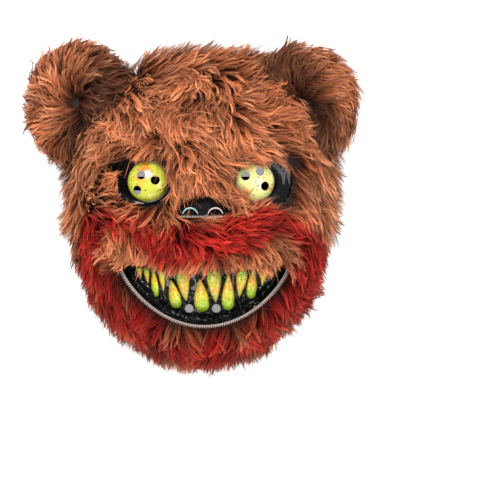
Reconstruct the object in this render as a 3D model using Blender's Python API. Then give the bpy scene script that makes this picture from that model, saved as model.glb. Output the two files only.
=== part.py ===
"""Bear mask: a moulded face shell covered with plush, lying face up on its back rim.

+X is the wearer's left as the face is looked at, +Y is the top of the head and +Z is the way the
face looks. Lengths are metres. The face's own frame has its middle at x = y = 0 and its rim at
z = 0. All pieces hang on one empty, which sets the whole box over the origin.
"""
import math

import bmesh
import bpy
from mathutils import Matrix, Vector

CLEARANCE = 0.0003

# Face shell: a squarish dome with a muzzle bulge
SHELL_WIDTH = 0.198
SHELL_HEIGHT = 0.240
SHELL_DEPTH = 0.078
SHELL_WALL = 0.0016
BROW_SQUARENESS = 3.0
CHIN_SQUARENESS = 2.0
DOME_SQUARENESS = 2.6
MUZZLE_RISE = 0.016
MUZZLE_WIDTH = 0.140
MUZZLE_HEIGHT = 0.104
MUZZLE_CENTRE_Y = -0.038
DOME_SIDES = 30
DOME_RINGS = 9

# Plush panels
FUR_DEPTH = 0.014
FUR_HEM = 0.0008
SEAM_GAP = 0.0006
LOCK_LENGTH = 0.034
LOCK_WIDTH = 0.022
LOCK_THICKNESS = 0.008
LOCK_LIFT = 0.0055
LOCK_SIDES = 4

# Eyes
EYE_SPACING = 0.090
EYE_HEIGHT = 0.023
EYE_DIAMETER = 0.034
EYE_RISE = 0.009
EYE_WALL = 0.0016
EYE_SKIRT = 0.0065
EYE_TILT = math.radians(13)
SIGHT_HOLE_DIAMETER = 0.0076
EYE_WINDOW_WIDTH = 0.050
EYE_WINDOW_HEIGHT = 0.041
EYE_WINDOW_OUTWARD = 0.006

# Nose
NOSE_WIDTH = 0.047
NOSE_HEIGHT = 0.0165
NOSE_RISE = 0.014
NOSE_X = 0.0015
NOSE_BASE_Y = -0.0055
NOSTRIL_X = -0.0035
NOSTRIL_SPACING = 0.0225
NOSTRIL_DIAMETER = 0.0085

# Mouth
MOUTH_X = 0.003
MOUTH_Y = -0.0445
MOUTH_WIDTH = 0.134
MOUTH_HEIGHT = 0.052
MOUTH_END = 0.004
MOUTH_SAG = 0.003
MOUTH_RECESS = 0.006
TRAY_FLOOR = 0.0016
TRAY_WALL = 0.002
TRAY_LIP = 0.0015
FUR_MARGIN = 0.001
BREATHING_HOLE_DIAMETER = 0.0072
BREATHING_HOLE_SPACING = 0.0230
BREATHING_HOLE_DOWN = 0.0395
TOOTH_THICKNESS = 0.0075

# Ears
EAR_WIDTH = 0.094
EAR_HEIGHT = 0.104
EAR_THICKNESS = 0.032
EAR_LEFT_X = -0.1035
EAR_RIGHT_X = 0.0870
EAR_Y = 0.0890
EAR_Z = 0.038
EAR_TILT = math.radians(14)
EAR_SIDES = 20
EAR_LOCKS = 16
EAR_LOCK_SCALE = 0.48

# Strap and rivets
STRAP_WIDTH = 0.012
STRAP_THICKNESS = 0.0012
STRAP_Y = 0.022
STRAP_FLOOR_GAP = 0.0005
STRAP_BEND = 0.010
RIVET_Z = 0.020
RIVET_SHANK_DIAMETER = 0.003
RIVET_HEAD_DIAMETER = 0.008
RIVET_HEAD_THICKNESS = 0.001

# Room between the shell's flat facets and what follows its smooth wall inside
WALL_SLACK = 0.0009

HALF_WIDTH = SHELL_WIDTH / 2
HALF_HEIGHT = SHELL_HEIGHT / 2
FAR = 0.4

# Seams, as shares of the shell's half width (across) and half height (height)
BROW_SEAM = (
    {"across": 0.00, "height": -0.050},
    {"across": 0.28, "height": -0.048},
    {"across": 0.55, "height": 0.012},
    {"across": 0.86, "height": 0.010},
    {"across": 1.16, "height": -0.160},
    {"across": 1.60, "height": -0.260},
)
JAW_SEAM_DROP = 0.40

# Teeth, as shares of the mouth's half width (across) and height (down), from its middle and top
TEETH = (
    {"name": "tooth_lower_1", "base_across": -0.610, "base_down": 0.575, "tip_across": -0.648,
     "tip_down": 0.085, "width": 0.050},
    {"name": "tooth_lower_2", "base_across": -0.345, "base_down": 0.755, "tip_across": -0.424,
     "tip_down": 0.285, "width": 0.080},
    {"name": "tooth_lower_3", "base_across": -0.025, "base_down": 0.815, "tip_across": -0.063,
     "tip_down": 0.269, "width": 0.100},
    {"name": "tooth_lower_4", "base_across": 0.295, "base_down": 0.791, "tip_across": 0.297,
     "tip_down": 0.204, "width": 0.086},
    {"name": "tooth_lower_5", "base_across": 0.582, "base_down": 0.604, "tip_across": 0.614,
     "tip_down": 0.085, "width": 0.070},
    {"name": "tooth_upper_1", "base_across": -0.835, "base_down": 0.070, "tip_across": -0.804,
     "tip_down": 0.275, "width": 0.038},
    {"name": "tooth_upper_2", "base_across": -0.740, "base_down": 0.080, "tip_across": -0.712,
     "tip_down": 0.360, "width": 0.038},
    {"name": "tooth_upper_3", "base_across": -0.545, "base_down": 0.090, "tip_across": -0.515,
     "tip_down": 0.480, "width": 0.044},
    {"name": "tooth_upper_4", "base_across": -0.292, "base_down": 0.100, "tip_across": -0.232,
     "tip_down": 0.640, "width": 0.084},
    {"name": "tooth_upper_5", "base_across": 0.105, "base_down": 0.100, "tip_across": 0.140,
     "tip_down": 0.655, "width": 0.092},
    {"name": "tooth_upper_6", "base_across": 0.477, "base_down": 0.100, "tip_across": 0.437,
     "tip_down": 0.570, "width": 0.074},
    {"name": "tooth_upper_7", "base_across": 0.755, "base_down": 0.085, "tip_across": 0.725,
     "tip_down": 0.400, "width": 0.050},
)

# A tooth's sections, along its axis from base to tip, as shares of its width and thickness
TOOTH_SECTIONS = (
    {"along": 0.00, "width": 0.62, "thickness": 0.50},
    {"along": 0.12, "width": 0.93, "thickness": 0.88},
    {"along": 0.35, "width": 1.00, "thickness": 1.00},
    {"along": 0.65, "width": 0.72, "thickness": 0.80},
    {"along": 0.88, "width": 0.34, "thickness": 0.50},
    {"along": 1.00, "width": 0.12, "thickness": 0.30},
)

# The ear's turned profile, as shares of its radius and thickness, from the cup to the back
EAR_PROFILE = (
    {"radius": 0.00, "height": 0.08},
    {"radius": 0.45, "height": 0.12},
    {"radius": 0.66, "height": 0.36},
    {"radius": 0.84, "height": 0.50},
    {"radius": 0.97, "height": 0.24},
    {"radius": 1.00, "height": -0.06},
    {"radius": 0.92, "height": -0.34},
    {"radius": 0.72, "height": -0.50},
    {"radius": 0.00, "height": -0.50},
)

# Sight holes, as shares of the eye's radius
SIGHT_HOLES = {
    "eye_left": ((-0.20, 0.32), (0.50, 0.07), (-0.42, -0.42)),
    "eye_right": ((-0.56, 0.28), (0.17, 0.50), (0.42, -0.22)),
}

# Rings of plush locks: how far from the face's middle to its rim they start, and how many
LOCK_RINGS = (
    {"polar": 0.10, "count": 4},
    {"polar": 0.22, "count": 9},
    {"polar": 0.34, "count": 13},
    {"polar": 0.46, "count": 17},
    {"polar": 0.58, "count": 21},
    {"polar": 0.70, "count": 24},
    {"polar": 0.81, "count": 28},
    {"polar": 0.91, "count": 32},
)


def muzzle(x, y):
    """Height of the muzzle bulge at a point of the face."""
    across = x / (MUZZLE_WIDTH / 2)
    up = (y - MUZZLE_CENTRE_Y) / (MUZZLE_HEIGHT / 2)
    reach = across * across + up * up
    if reach >= 1:
        return 0.0
    return MUZZLE_RISE * (1 - reach) ** 2


def dome_point(polar, turn, outset):
    """Point of the dome that lies outset from the shell's outer face.

    polar runs from 0 at the face's middle to 1 at the rim, and turn is the angle round the face.
    """
    power = BROW_SQUARENESS if math.sin(turn) > 0 else CHIN_SQUARENESS
    spread = (abs(math.cos(turn)) ** power + abs(math.sin(turn)) ** power) ** (-1 / power)
    slope = polar * math.pi / 2
    reach = math.sin(slope) ** (2 / DOME_SQUARENESS)
    x = (HALF_WIDTH + outset) * reach * spread * math.cos(turn)
    y = (HALF_HEIGHT + outset) * reach * spread * math.sin(turn)
    rise = max(math.cos(slope), 0.0) ** (2 / DOME_SQUARENESS)
    z = (SHELL_DEPTH + outset) * rise
    return Vector((x, y, z + muzzle(x, y) * min(1.0, 4 * rise)))


def dome_height(x, y, outset):
    """Height of the dome over a point of the face."""
    power = BROW_SQUARENESS if y > 0 else CHIN_SQUARENESS
    reach = (abs(x / (HALF_WIDTH + outset)) ** power + abs(y / (HALF_HEIGHT + outset)) ** power)
    reach = min(reach ** (1 / power), 1.0)
    rise = (1 - reach ** DOME_SQUARENESS) ** (1 / DOME_SQUARENESS)
    return (SHELL_DEPTH + outset) * rise + muzzle(x, y) * min(1.0, 4 * rise)


def add_dome(bm, outset, floor):
    """Add the dome's open surface to a mesh and give back its rim, in order.

    All domes are cut into triangles the same way, so that their facets stay parallel.
    """
    rings = []
    for ring in range(1, DOME_RINGS + 1):
        verts = []
        for side in range(DOME_SIDES):
            point = dome_point(ring / DOME_RINGS, 2 * math.pi * side / DOME_SIDES, outset)
            point.z = floor if ring == DOME_RINGS else max(point.z, floor)
            verts.append(bm.verts.new(point))
        rings.append(verts)
    top = bm.verts.new(dome_point(0, 0, outset))
    for side in range(DOME_SIDES):
        following = (side + 1) % DOME_SIDES
        bm.faces.new((top, rings[0][side], rings[0][following]))
        for inner, outer in zip(rings, rings[1:]):
            bm.faces.new((inner[side], outer[side], outer[following]))
            bm.faces.new((inner[side], outer[following], inner[following]))
    return rings[-1]


def dome_solid(outset, floor):
    """Solid dome with a flat underside."""
    bm = bmesh.new()
    rim = add_dome(bm, outset, floor)
    bm.faces.new(rim)
    return bm


def dome_wall(outer, inner, floor):
    """Wall between two domes, open underneath."""
    bm = bmesh.new()
    outer_rim = add_dome(bm, outer, floor)
    inner_rim = add_dome(bm, inner, floor)
    for side in range(DOME_SIDES):
        following = (side + 1) % DOME_SIDES
        corners = (outer_rim[side], outer_rim[following], inner_rim[following], inner_rim[side])
        bm.faces.new(corners)
    return bm


def prism(outline, low, high):
    """Solid between two heights over an outline of points in the face's plane."""
    bm = bmesh.new()
    bottom = [bm.verts.new((x, y, low)) for x, y in outline]
    top = [bm.verts.new((x, y, high)) for x, y in outline]
    bm.faces.new(bottom)
    bm.faces.new(top)
    for index in range(len(outline)):
        following = (index + 1) % len(outline)
        bm.faces.new((bottom[index], bottom[following], top[following], top[index]))
    return bm


def oval(x, y, width, height, sides, squareness):
    """Outline of a squarish oval."""
    points = []
    for side in range(sides):
        turn = 2 * math.pi * side / sides
        reach = abs(math.cos(turn)) ** squareness + abs(math.sin(turn)) ** squareness
        reach = reach ** (-1 / squareness)
        across = x + width / 2 * reach * math.cos(turn)
        up = y + height / 2 * reach * math.sin(turn)
        points.append((across, up))
    return points


def lathe(profile, sides, stretch=1.0):
    """Solid turned about Z from a closed profile of (radius, height) points."""
    bm = bmesh.new()
    rings = []
    for radius, height in profile:
        if radius == 0:
            rings.append([bm.verts.new((0, 0, height))])
            continue
        verts = []
        for side in range(sides):
            turn = 2 * math.pi * side / sides
            across = radius * math.cos(turn)
            verts.append(bm.verts.new((across, radius * stretch * math.sin(turn), height)))
        rings.append(verts)
    closed = len(rings[0]) > 1
    pairs = list(zip(rings, rings[1:]))
    if closed:
        pairs.append((rings[-1], rings[0]))
    for first, second in pairs:
        for side in range(sides):
            following = (side + 1) % sides
            corners = [first[side % len(first)], first[following % len(first)],
                       second[following % len(second)], second[side % len(second)]]
            unique = list(dict.fromkeys(corners))
            if len(unique) > 2:
                bm.faces.new(unique)
    return bm


def make_material(name, colour, roughness, metallic=0.0):
    material = bpy.data.materials.new(name)
    material.use_nodes = True
    shader = material.node_tree.nodes["Principled BSDF"]
    shader.inputs["Base Color"].default_value = (*colour, 1)
    shader.inputs["Roughness"].default_value = roughness
    shader.inputs["Metallic"].default_value = metallic
    return material


def make_object(name, bm, material=None):
    """Turn a mesh into an object with its faces pointing out."""
    bmesh.ops.recalc_face_normals(bm, faces=bm.faces)
    if bm.calc_volume(signed=True) < 0:
        bmesh.ops.reverse_faces(bm, faces=bm.faces)
    mesh = bpy.data.meshes.new(name)
    bm.to_mesh(mesh)
    bm.free()
    obj = bpy.data.objects.new(name, mesh)
    bpy.context.scene.collection.objects.link(obj)
    if material:
        mesh.materials.append(material)
    return obj


def combine(target, cutter, operation):
    """Apply a Boolean to the target and remove the cutter."""
    modifier = target.modifiers.new("boolean", "BOOLEAN")
    modifier.operation = operation
    modifier.object = cutter
    depsgraph = bpy.context.evaluated_depsgraph_get()
    mesh = bpy.data.meshes.new_from_object(target.evaluated_get(depsgraph))
    target.modifiers.remove(modifier)
    target.data = mesh
    bpy.data.objects.remove(cutter)


def cut(target, bm, matrix=None):
    cutter = make_object("cutter", bm)
    if matrix:
        cutter.matrix_world = matrix
    combine(target, cutter, "DIFFERENCE")


def keep(target, bm):
    combine(target, make_object("cutter", bm), "INTERSECT")


def join(target, bm, matrix=None):
    addition = make_object("addition", bm)
    if matrix:
        addition.matrix_world = matrix
    combine(target, addition, "UNION")


def tidy(obj, smooth_angle=40):
    """Weld stray points, make the faces triangles and shade the round ones smooth."""
    bm = bmesh.new()
    bm.from_mesh(obj.data)
    bmesh.ops.remove_doubles(bm, verts=bm.verts, dist=0.000002)
    bmesh.ops.dissolve_degenerate(bm, edges=bm.edges, dist=0.000001)
    bmesh.ops.triangulate(bm, faces=bm.faces)
    bm.to_mesh(obj.data)
    bm.free()
    obj.data.shade_smooth()
    obj.data.set_sharp_from_angle(angle=math.radians(smooth_angle))


def seam_height(x):
    """Height of the seam between brow and muzzle, smooth between the table's rows."""
    across = abs(x) / HALF_WIDTH
    rows = BROW_SEAM
    for low, high in zip(rows, rows[1:]):
        if across <= high["across"]:
            share = (across - low["across"]) / (high["across"] - low["across"])
            share = share * share * (3 - 2 * share)
            return HALF_HEIGHT * (low["height"] + share * (high["height"] - low["height"]))
    return HALF_HEIGHT * rows[-1]["height"]


def jaw_seam_height(x):
    """Height of the seam between muzzle and jaw, which runs out and down from the mouth."""
    outside = abs(x - MOUTH_X) - MOUTH_WIDTH / 2
    start = MOUTH_Y - MOUTH_END / 2
    if outside <= 0:
        return start
    return start - JAW_SEAM_DROP * outside


def mouth_edges(share, grow):
    """Upper and lower edge of the mouth at a share of its half width."""
    curve = max(1 - share * share, 0.0)
    upper = MOUTH_Y - MOUTH_SAG * curve + grow
    lower = MOUTH_Y - MOUTH_END - (MOUTH_HEIGHT - MOUTH_END) * curve ** 0.8 - grow
    return upper, lower


def mouth_outline(grow, steps=11):
    """Outline of the mouth, grown by a margin on every side."""
    half = MOUTH_WIDTH / 2 + 1.4 * grow
    shares = [-math.cos(math.pi * step / steps) for step in range(steps + 1)]
    upper = [(MOUTH_X + half * share, mouth_edges(share, grow)[0]) for share in shares]
    lower = [(MOUTH_X + half * share, mouth_edges(share, grow)[1]) for share in shares]
    return upper + lower[::-1]


def eye_matrix(side):
    """Place of an eye: on the shell's outer face, turned a little outward."""
    x = side * EYE_SPACING / 2
    height = dome_height(x, EYE_HEIGHT, 0)
    place = Matrix.Translation((x, EYE_HEIGHT, height))
    return place @ Matrix.Rotation(side * EYE_TILT, 4, "Y")


def eye_window(side, grow=0.0):
    x = side * (EYE_SPACING / 2 + EYE_WINDOW_OUTWARD)
    width = EYE_WINDOW_WIDTH + 2 * grow
    height = EYE_WINDOW_HEIGHT + 2 * grow
    return oval(x, EYE_HEIGHT + 0.0005, width, height, 24, 2.8)


def build_shell(material):
    shell = make_object("face_shell", dome_wall(0, -SHELL_WALL, 0), material)
    for side in (-1, 1):
        hole = oval(0, 0, EYE_DIAMETER + 2 * CLEARANCE, EYE_DIAMETER + 2 * CLEARANCE, 20, 2)
        cut(shell, prism(hole, -FAR / 10, FAR / 10), eye_matrix(side))
    cut(shell, prism(mouth_outline(TRAY_WALL + CLEARANCE), HALF_WIDTH * 0.1, FAR))
    for side in (-1, 1):
        cut(shell, rivet_bore(), rivet_matrix(side))
    return shell


def build_eye(name, side, material):
    radius = EYE_DIAMETER / 2
    steps = 4
    outer = [(radius, -EYE_SKIRT)]
    inner = [(radius - EYE_WALL, -EYE_SKIRT)]
    for step in range(steps + 1):
        turn = math.pi / 2 * step / steps
        across = math.cos(turn) if step < steps else 0
        outer.append((radius * across, EYE_RISE * math.sin(turn)))
        inner.append(((radius - EYE_WALL) * across, (EYE_RISE - EYE_WALL) * math.sin(turn)))
    eye = make_object(name, lathe_open(outer, inner, 18), material)
    eye.matrix_world = eye_matrix(side)
    for across, up in SIGHT_HOLES[name]:
        hole = oval(across * radius, up * radius, SIGHT_HOLE_DIAMETER, SIGHT_HOLE_DIAMETER, 10, 2)
        cut(eye, prism(hole, -EYE_SKIRT, 2 * EYE_RISE), eye_matrix(side))
    return eye


def lathe_open(outer, inner, sides):
    """Cup between two profiles that both run from the rim to the axis."""
    return lathe(inner[::-1] + outer, sides)


def build_nose(material):
    """Half of a squarish dome, flat along its lower edge, with two nostrils."""
    bm = bmesh.new()
    sides = 18
    rings = 5
    levels = []
    for ring in range(rings + 1):
        turn = math.pi / 2 * ring / rings
        shrink = math.cos(turn) ** 0.8 if ring < rings else 0.06
        verts = []
        for side in range(sides + 1):
            angle = math.pi * side / sides
            x = NOSE_X + NOSE_WIDTH / 2 * shrink * math.cos(angle)
            y = NOSE_BASE_Y + NOSE_HEIGHT * shrink * math.sin(angle)
            base = dome_height(x, y, 0)
            verts.append(bm.verts.new((x, y, base + NOSE_RISE * math.sin(turn))))
        levels.append(verts)
    sunk = []
    for side in range(sides + 1):
        x, y, z = levels[0][side].co
        sunk.append(bm.verts.new((x, y, z - 2 * SHELL_WALL)))
    levels.insert(0, sunk)
    for low, high in zip(levels, levels[1:]):
        for side in range(sides):
            bm.faces.new((low[side], low[side + 1], high[side + 1], high[side]))
    bm.faces.new(levels[-1])
    bm.faces.new(levels[0])
    bm.faces.new([row[0] for row in levels] + [row[-1] for row in reversed(levels)])
    nose = make_object("nose", bm, material)
    for side in (-1, 1):
        x = NOSTRIL_X + side * NOSTRIL_SPACING / 2
        z = dome_height(x, NOSE_BASE_Y, 0) + NOSE_RISE * 0.9
        nostril = lathe([(0, -1), (0.71, -0.71), (1, 0), (0.71, 0.71), (0, 1)], 10)
        bmesh.ops.scale(nostril, verts=nostril.verts, vec=[NOSTRIL_DIAMETER / 2] * 3)
        cut(nose, nostril, Matrix.Translation((x, NOSE_BASE_Y, z)))
    cut(nose, dome_solid(CLEARANCE, 0))
    return nose


def build_mouth_tray(material):
    """Recessed floor that follows the shell, inside a low wall round the mouth."""
    bottom = SHELL_DEPTH * 0.1
    tray = make_object("mouth_tray", dome_solid(TRAY_LIP, 0), material)
    keep(tray, prism(mouth_outline(TRAY_WALL), bottom, FAR))
    cut(tray, dome_solid(-MOUTH_RECESS - TRAY_FLOOR, 0))
    hollow = make_object("hollow", prism(mouth_outline(0), bottom / 2, FAR))
    combine(hollow, make_object("cutter", dome_solid(-MOUTH_RECESS, 0)), "DIFFERENCE")
    combine(tray, hollow, "DIFFERENCE")
    for side in (-1, 1):
        x = MOUTH_X - 0.0015 + side * BREATHING_HOLE_SPACING / 2
        y = MOUTH_Y - BREATHING_HOLE_DOWN
        hole = oval(x, y, BREATHING_HOLE_DIAMETER, BREATHING_HOLE_DIAMETER, 12, 2)
        cut(tray, prism(hole, 0, FAR))
    return tray


def build_tooth(row, material):
    """Pointed tooth whose back follows the tray's floor."""
    half = MOUTH_WIDTH / 2
    base = Vector((MOUTH_X + half * row["base_across"], MOUTH_Y - MOUTH_HEIGHT * row["base_down"]))
    tip = Vector((MOUTH_X + half * row["tip_across"], MOUTH_Y - MOUTH_HEIGHT * row["tip_down"]))
    axis = tip - base
    across = Vector((-axis.y, axis.x)).normalized()
    width = MOUTH_WIDTH * row["width"]
    thickness = TOOTH_THICKNESS * min(1.0, 0.55 + 5 * row["width"])
    sides = 7
    bm = bmesh.new()
    levels = []
    for section in TOOTH_SECTIONS:
        centre = base + axis * section["along"]
        floor = dome_height(centre.x, centre.y, -MOUTH_RECESS)
        verts = []
        for side in range(sides):
            turn = 2 * math.pi * side / sides
            flat = centre + across * (width / 2 * section["width"] * math.cos(turn))
            rise = thickness * section["thickness"] * math.sin(turn)
            verts.append(bm.verts.new((flat.x, flat.y, floor + rise)))
        levels.append(verts)
    for low, high in zip(levels, levels[1:]):
        for side in range(sides):
            following = (side + 1) % sides
            bm.faces.new((low[side], low[following], high[following], high[side]))
    bm.faces.new(levels[0])
    bm.faces.new(levels[-1])
    tooth = make_object(row["name"], bm, material)
    cut(tooth, dome_solid(CLEARANCE - MOUTH_RECESS, 0))
    return tooth


def flow(x, y):
    """Direction in the face's plane in which the plush is combed."""
    panel = panel_of(x, y)
    if panel == "fur_brow":
        return Vector((x, y - 0.1 * HALF_HEIGHT)).normalized()
    if panel == "fur_muzzle":
        return Vector((1 if x > 0 else -1, -0.25)).normalized()
    return Vector((0.8 * x, y)).normalized()


def panel_of(x, y):
    if y > seam_height(x):
        return "fur_brow"
    if y > jaw_seam_height(x):
        return "fur_muzzle"
    return "fur_jaw"


def inside(outline, x, y):
    """Whether a point lies inside an outline."""
    crossings = 0
    for (ax, ay), (bx, by) in zip(outline, outline[1:] + outline[:1]):
        if (ay > y) != (by > y) and x < ax + (y - ay) * (bx - ax) / (by - ay):
            crossings += 1
    return crossings % 2 == 1


def near_ear(place, margin):
    """Whether a point lies over an ear and no higher than the ear reaches."""
    reach = EAR_THICKNESS / 2 + EAR_WIDTH / 2 * math.sin(EAR_TILT) + margin
    if place.z > EAR_Z + reach:
        return False
    for centre_x in (EAR_LEFT_X, EAR_RIGHT_X):
        across = (place.x - centre_x) / (EAR_WIDTH / 2 + margin)
        up = (place.y - EAR_Y) / (EAR_HEIGHT / 2 + margin)
        if across * across + up * up < 1:
            return True
    return False


def free_place(panel, place, margin):
    """Whether a lock of a panel may reach this point, with a margin round it."""
    for step in range(12):
        turn = 2 * math.pi * step / 12
        x = place.x + margin * math.cos(turn)
        y = place.y + margin * math.sin(turn)
        if panel_of(x, y) != panel:
            return False
    openings = [eye_window(-1, margin), eye_window(1, margin), nose_window(margin + FUR_MARGIN),
                mouth_outline(TRAY_WALL + FUR_MARGIN + margin)]
    if near_ear(place, margin + LOCK_THICKNESS):
        return False
    return not any(inside(outline, place.x, place.y) for outline in openings)


def nose_window(grow):
    width = NOSE_WIDTH + 2 * grow
    return oval(NOSE_X, NOSE_BASE_Y, width, 2 * (NOSE_HEIGHT + grow), 24, 2.2)


def lock_mesh(root, flow_direction, normal, scale):
    """Tapered lock whose root is sunk in the plush and whose tip stands clear of it."""
    across = flow_direction.cross(normal).normalized()
    sections = (
        {"along": 0.00, "height": -0.45, "width": 0.80, "thickness": 0.9},
        {"along": 0.45, "height": 0.25, "width": 1.00, "thickness": 0.9},
    )
    bm = bmesh.new()
    levels = []
    for section in sections:
        centre = root + flow_direction * (LOCK_LENGTH * scale * section["along"])
        centre = centre + normal * (LOCK_LIFT * section["height"])
        verts = []
        for side in range(LOCK_SIDES):
            turn = 2 * math.pi * side / LOCK_SIDES
            out = across * (LOCK_WIDTH / 2 * scale * section["width"] * math.cos(turn))
            up = normal * (LOCK_THICKNESS / 2 * section["thickness"] * math.sin(turn))
            verts.append(bm.verts.new(centre + out + up))
        levels.append(verts)
    tip = bm.verts.new(root + flow_direction * (LOCK_LENGTH * scale) + normal * LOCK_LIFT)
    bm.faces.new(levels[0])
    for side in range(LOCK_SIDES):
        following = (side + 1) % LOCK_SIDES
        low, high = levels
        bm.faces.new((low[side], low[following], high[following], high[side]))
        bm.faces.new((high[side], high[following], tip))
    return bm


def lock_on_dome(polar, turn):
    """Root, direction and outward normal of a lock at a place on the plush."""
    root = dome_point(polar, turn, FUR_DEPTH)
    step = 0.02
    round_step = dome_point(polar, turn + step, FUR_DEPTH) - dome_point(polar, turn - step, FUR_DEPTH)
    out_step = dome_point(polar + step, turn, FUR_DEPTH) - dome_point(polar - step, turn, FUR_DEPTH)
    normal = out_step.cross(round_step).normalized()
    if normal.z < 0:
        normal = -normal
    comb = flow(root.x, root.y)
    direction = Vector((comb.x, comb.y, 0))
    if out_step.normalized().z < -0.7:
        direction = out_step.normalized()
    direction = (direction - normal * direction.dot(normal)).normalized()
    return root, direction, normal


def fur_regions():
    """Outlines of the three plush panels in the face's plane."""
    far = 2 * HALF_WIDTH
    steps = [far * (step / 12 - 1) for step in range(25)]
    brow_edge = [(x, seam_height(x)) for x in steps]
    grow = TRAY_WALL + FUR_MARGIN
    half = MOUTH_WIDTH / 2 + 1.4 * grow
    ends = (MOUTH_X - half, MOUTH_X + half)
    left = [x for x in steps if x < ends[0] - FUR_MARGIN] + [ends[0]]
    right = [ends[1]] + [x for x in steps if x > ends[1] + FUR_MARGIN]
    outline = mouth_outline(grow)
    upper = outline[:len(outline) // 2]
    lower = outline[len(outline) // 2:][::-1]
    gap = SEAM_GAP / 2

    def seam(xs, lift):
        return [(x, jaw_seam_height(x) + lift) for x in xs]

    return {
        "fur_brow": [(x, y + gap) for x, y in brow_edge] + [(far, FAR), (-far, FAR)],
        "fur_muzzle": seam(left, gap) + upper + seam(right, gap)
        + [(x, y - gap) for x, y in reversed(brow_edge)],
        "fur_jaw": seam(left, -gap) + lower + seam(right, -gap) + [(far, -FAR), (-far, -FAR)],
    }


def build_fur(material):
    """Three plush panels over the shell, each with its locks."""
    panels = {}
    for name, region in fur_regions().items():
        panel = make_object(name, dome_wall(FUR_DEPTH, CLEARANCE, FUR_HEM), material)
        keep(panel, prism(region, -FAR, FAR))
        panels[name] = panel
    for side in (-1, 1):
        cut(panels["fur_brow"], prism(eye_window(side), -FAR, FAR))
    cut(panels["fur_brow"], prism(nose_window(FUR_MARGIN), -FAR, FAR))
    add_locks(panels)
    for side in (-1, 1):
        cut(panels["fur_brow"], rivet_pocket(), rivet_matrix(side))
    return list(panels.values())


def add_locks(panels):
    """Fuse the locks to their panels, ring by ring from the face's middle outward."""
    for ring, row in enumerate(LOCK_RINGS):
        for index in range(row["count"]):
            turn = 2 * math.pi * (index + 0.5 * (ring % 2)) / row["count"]
            turn = turn + 0.10 * math.sin(7.0 * index + 3.0 * ring)
            full = 1 + 0.15 * math.sin(5.0 * index + 2.0 * ring)
            for shrink in (1.0, 0.72, 0.5):
                if add_lock(panels, row["polar"], turn, full * shrink):
                    break


def add_lock(panels, polar, turn, scale):
    """Fuse one lock to its panel, unless it would leave it."""
    root, direction, normal = lock_on_dome(polar, turn)
    tip = root + direction * (LOCK_LENGTH * scale) + normal * LOCK_LIFT
    panel = panel_of(root.x, root.y)
    if tip.z < 2 * FUR_HEM:
        return False
    for share in (0, 0.2, 0.45, 0.7, 1):
        taper = min(1.0, (1 - share) / 0.55)
        margin = LOCK_WIDTH * scale / 2 * taper + 2 * SEAM_GAP
        if not free_place(panel, root.lerp(tip, share), margin):
            return False
    join(panels[panel], lock_mesh(root, direction, normal, scale))
    return True


def ear_matrix(side):
    x = EAR_RIGHT_X if side > 0 else EAR_LEFT_X
    place = Matrix.Translation((x, EAR_Y, EAR_Z))
    return place @ Matrix.Rotation(side * EAR_TILT, 4, "Y")


def build_ear(name, side, material):
    """Cupped plush ear with locks round its rim, cut to the plush of the head."""
    radius = EAR_WIDTH / 2
    stretch = EAR_HEIGHT / EAR_WIDTH
    profile = [(row["radius"] * radius, row["height"] * EAR_THICKNESS) for row in EAR_PROFILE]
    ear = make_object(name, lathe(profile, EAR_SIDES, stretch), material)
    ear.matrix_world = ear_matrix(side)
    for index in range(EAR_LOCKS):
        turn = math.pi / 2 - side * math.radians(-80 + 220 * (index + 0.5) / EAR_LOCKS)
        out = Vector((math.cos(turn), math.sin(turn), 0))
        level = EAR_THICKNESS * (0.16 if index % 2 else -0.14)
        root = Vector((out.x * radius, out.y * radius * stretch, 0)) * 0.88
        root.z = level
        round_way = Vector((-out.y, out.x, 0)) * (0.6 if index % 3 else -0.6)
        direction = (out + round_way).normalized()
        normal = Vector((0, 0, 1)) * (1 if level > 0 else -1)
        tip = ear_matrix(side) @ (root + direction * LOCK_LENGTH * EAR_LOCK_SCALE)
        if dome_height(tip.x, tip.y, FUR_DEPTH + LOCK_WIDTH / 2) > 0:
            continue
        join(ear, lock_mesh(root, direction, normal, EAR_LOCK_SCALE), ear_matrix(side))
    cut(ear, dome_solid(FUR_DEPTH + CLEARANCE, -FAR / 10))
    return ear


def dome_side(z, outset):
    """Half width of the dome at a height, at the strap's level."""
    low = 0.0
    high = 1.0
    for _ in range(40):
        middle = (low + high) / 2
        x = (HALF_WIDTH + outset) * middle
        if dome_height(x, STRAP_Y, outset) > z:
            low = middle
        else:
            high = middle
    return (HALF_WIDTH + outset) * low


def rivet_matrix(side):
    """Place of a rivet: on the shell's outer face, with its axis along the wall's normal."""
    x = dome_side(RIVET_Z, 0)
    lean = math.atan2(dome_side(RIVET_Z - 0.001, 0) - dome_side(RIVET_Z + 0.001, 0), 0.002)
    place = Matrix.Translation((side * x, STRAP_Y, RIVET_Z))
    return place @ Matrix.Rotation(side * (math.pi / 2 - lean), 4, "Y")


def rivet_bore():
    radius = RIVET_SHANK_DIAMETER / 2 + CLEARANCE
    return lathe([(0, -FAR / 20), (radius, -FAR / 20), (radius, FAR / 20), (0, FAR / 20)], 12)


def rivet_pocket():
    radius = RIVET_HEAD_DIAMETER / 2 + 2 * CLEARANCE
    top = RIVET_HEAD_THICKNESS + 3 * CLEARANCE
    return lathe([(0, -3 * SHELL_WALL), (radius, -3 * SHELL_WALL), (radius, top), (0, top)], 12)


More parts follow.
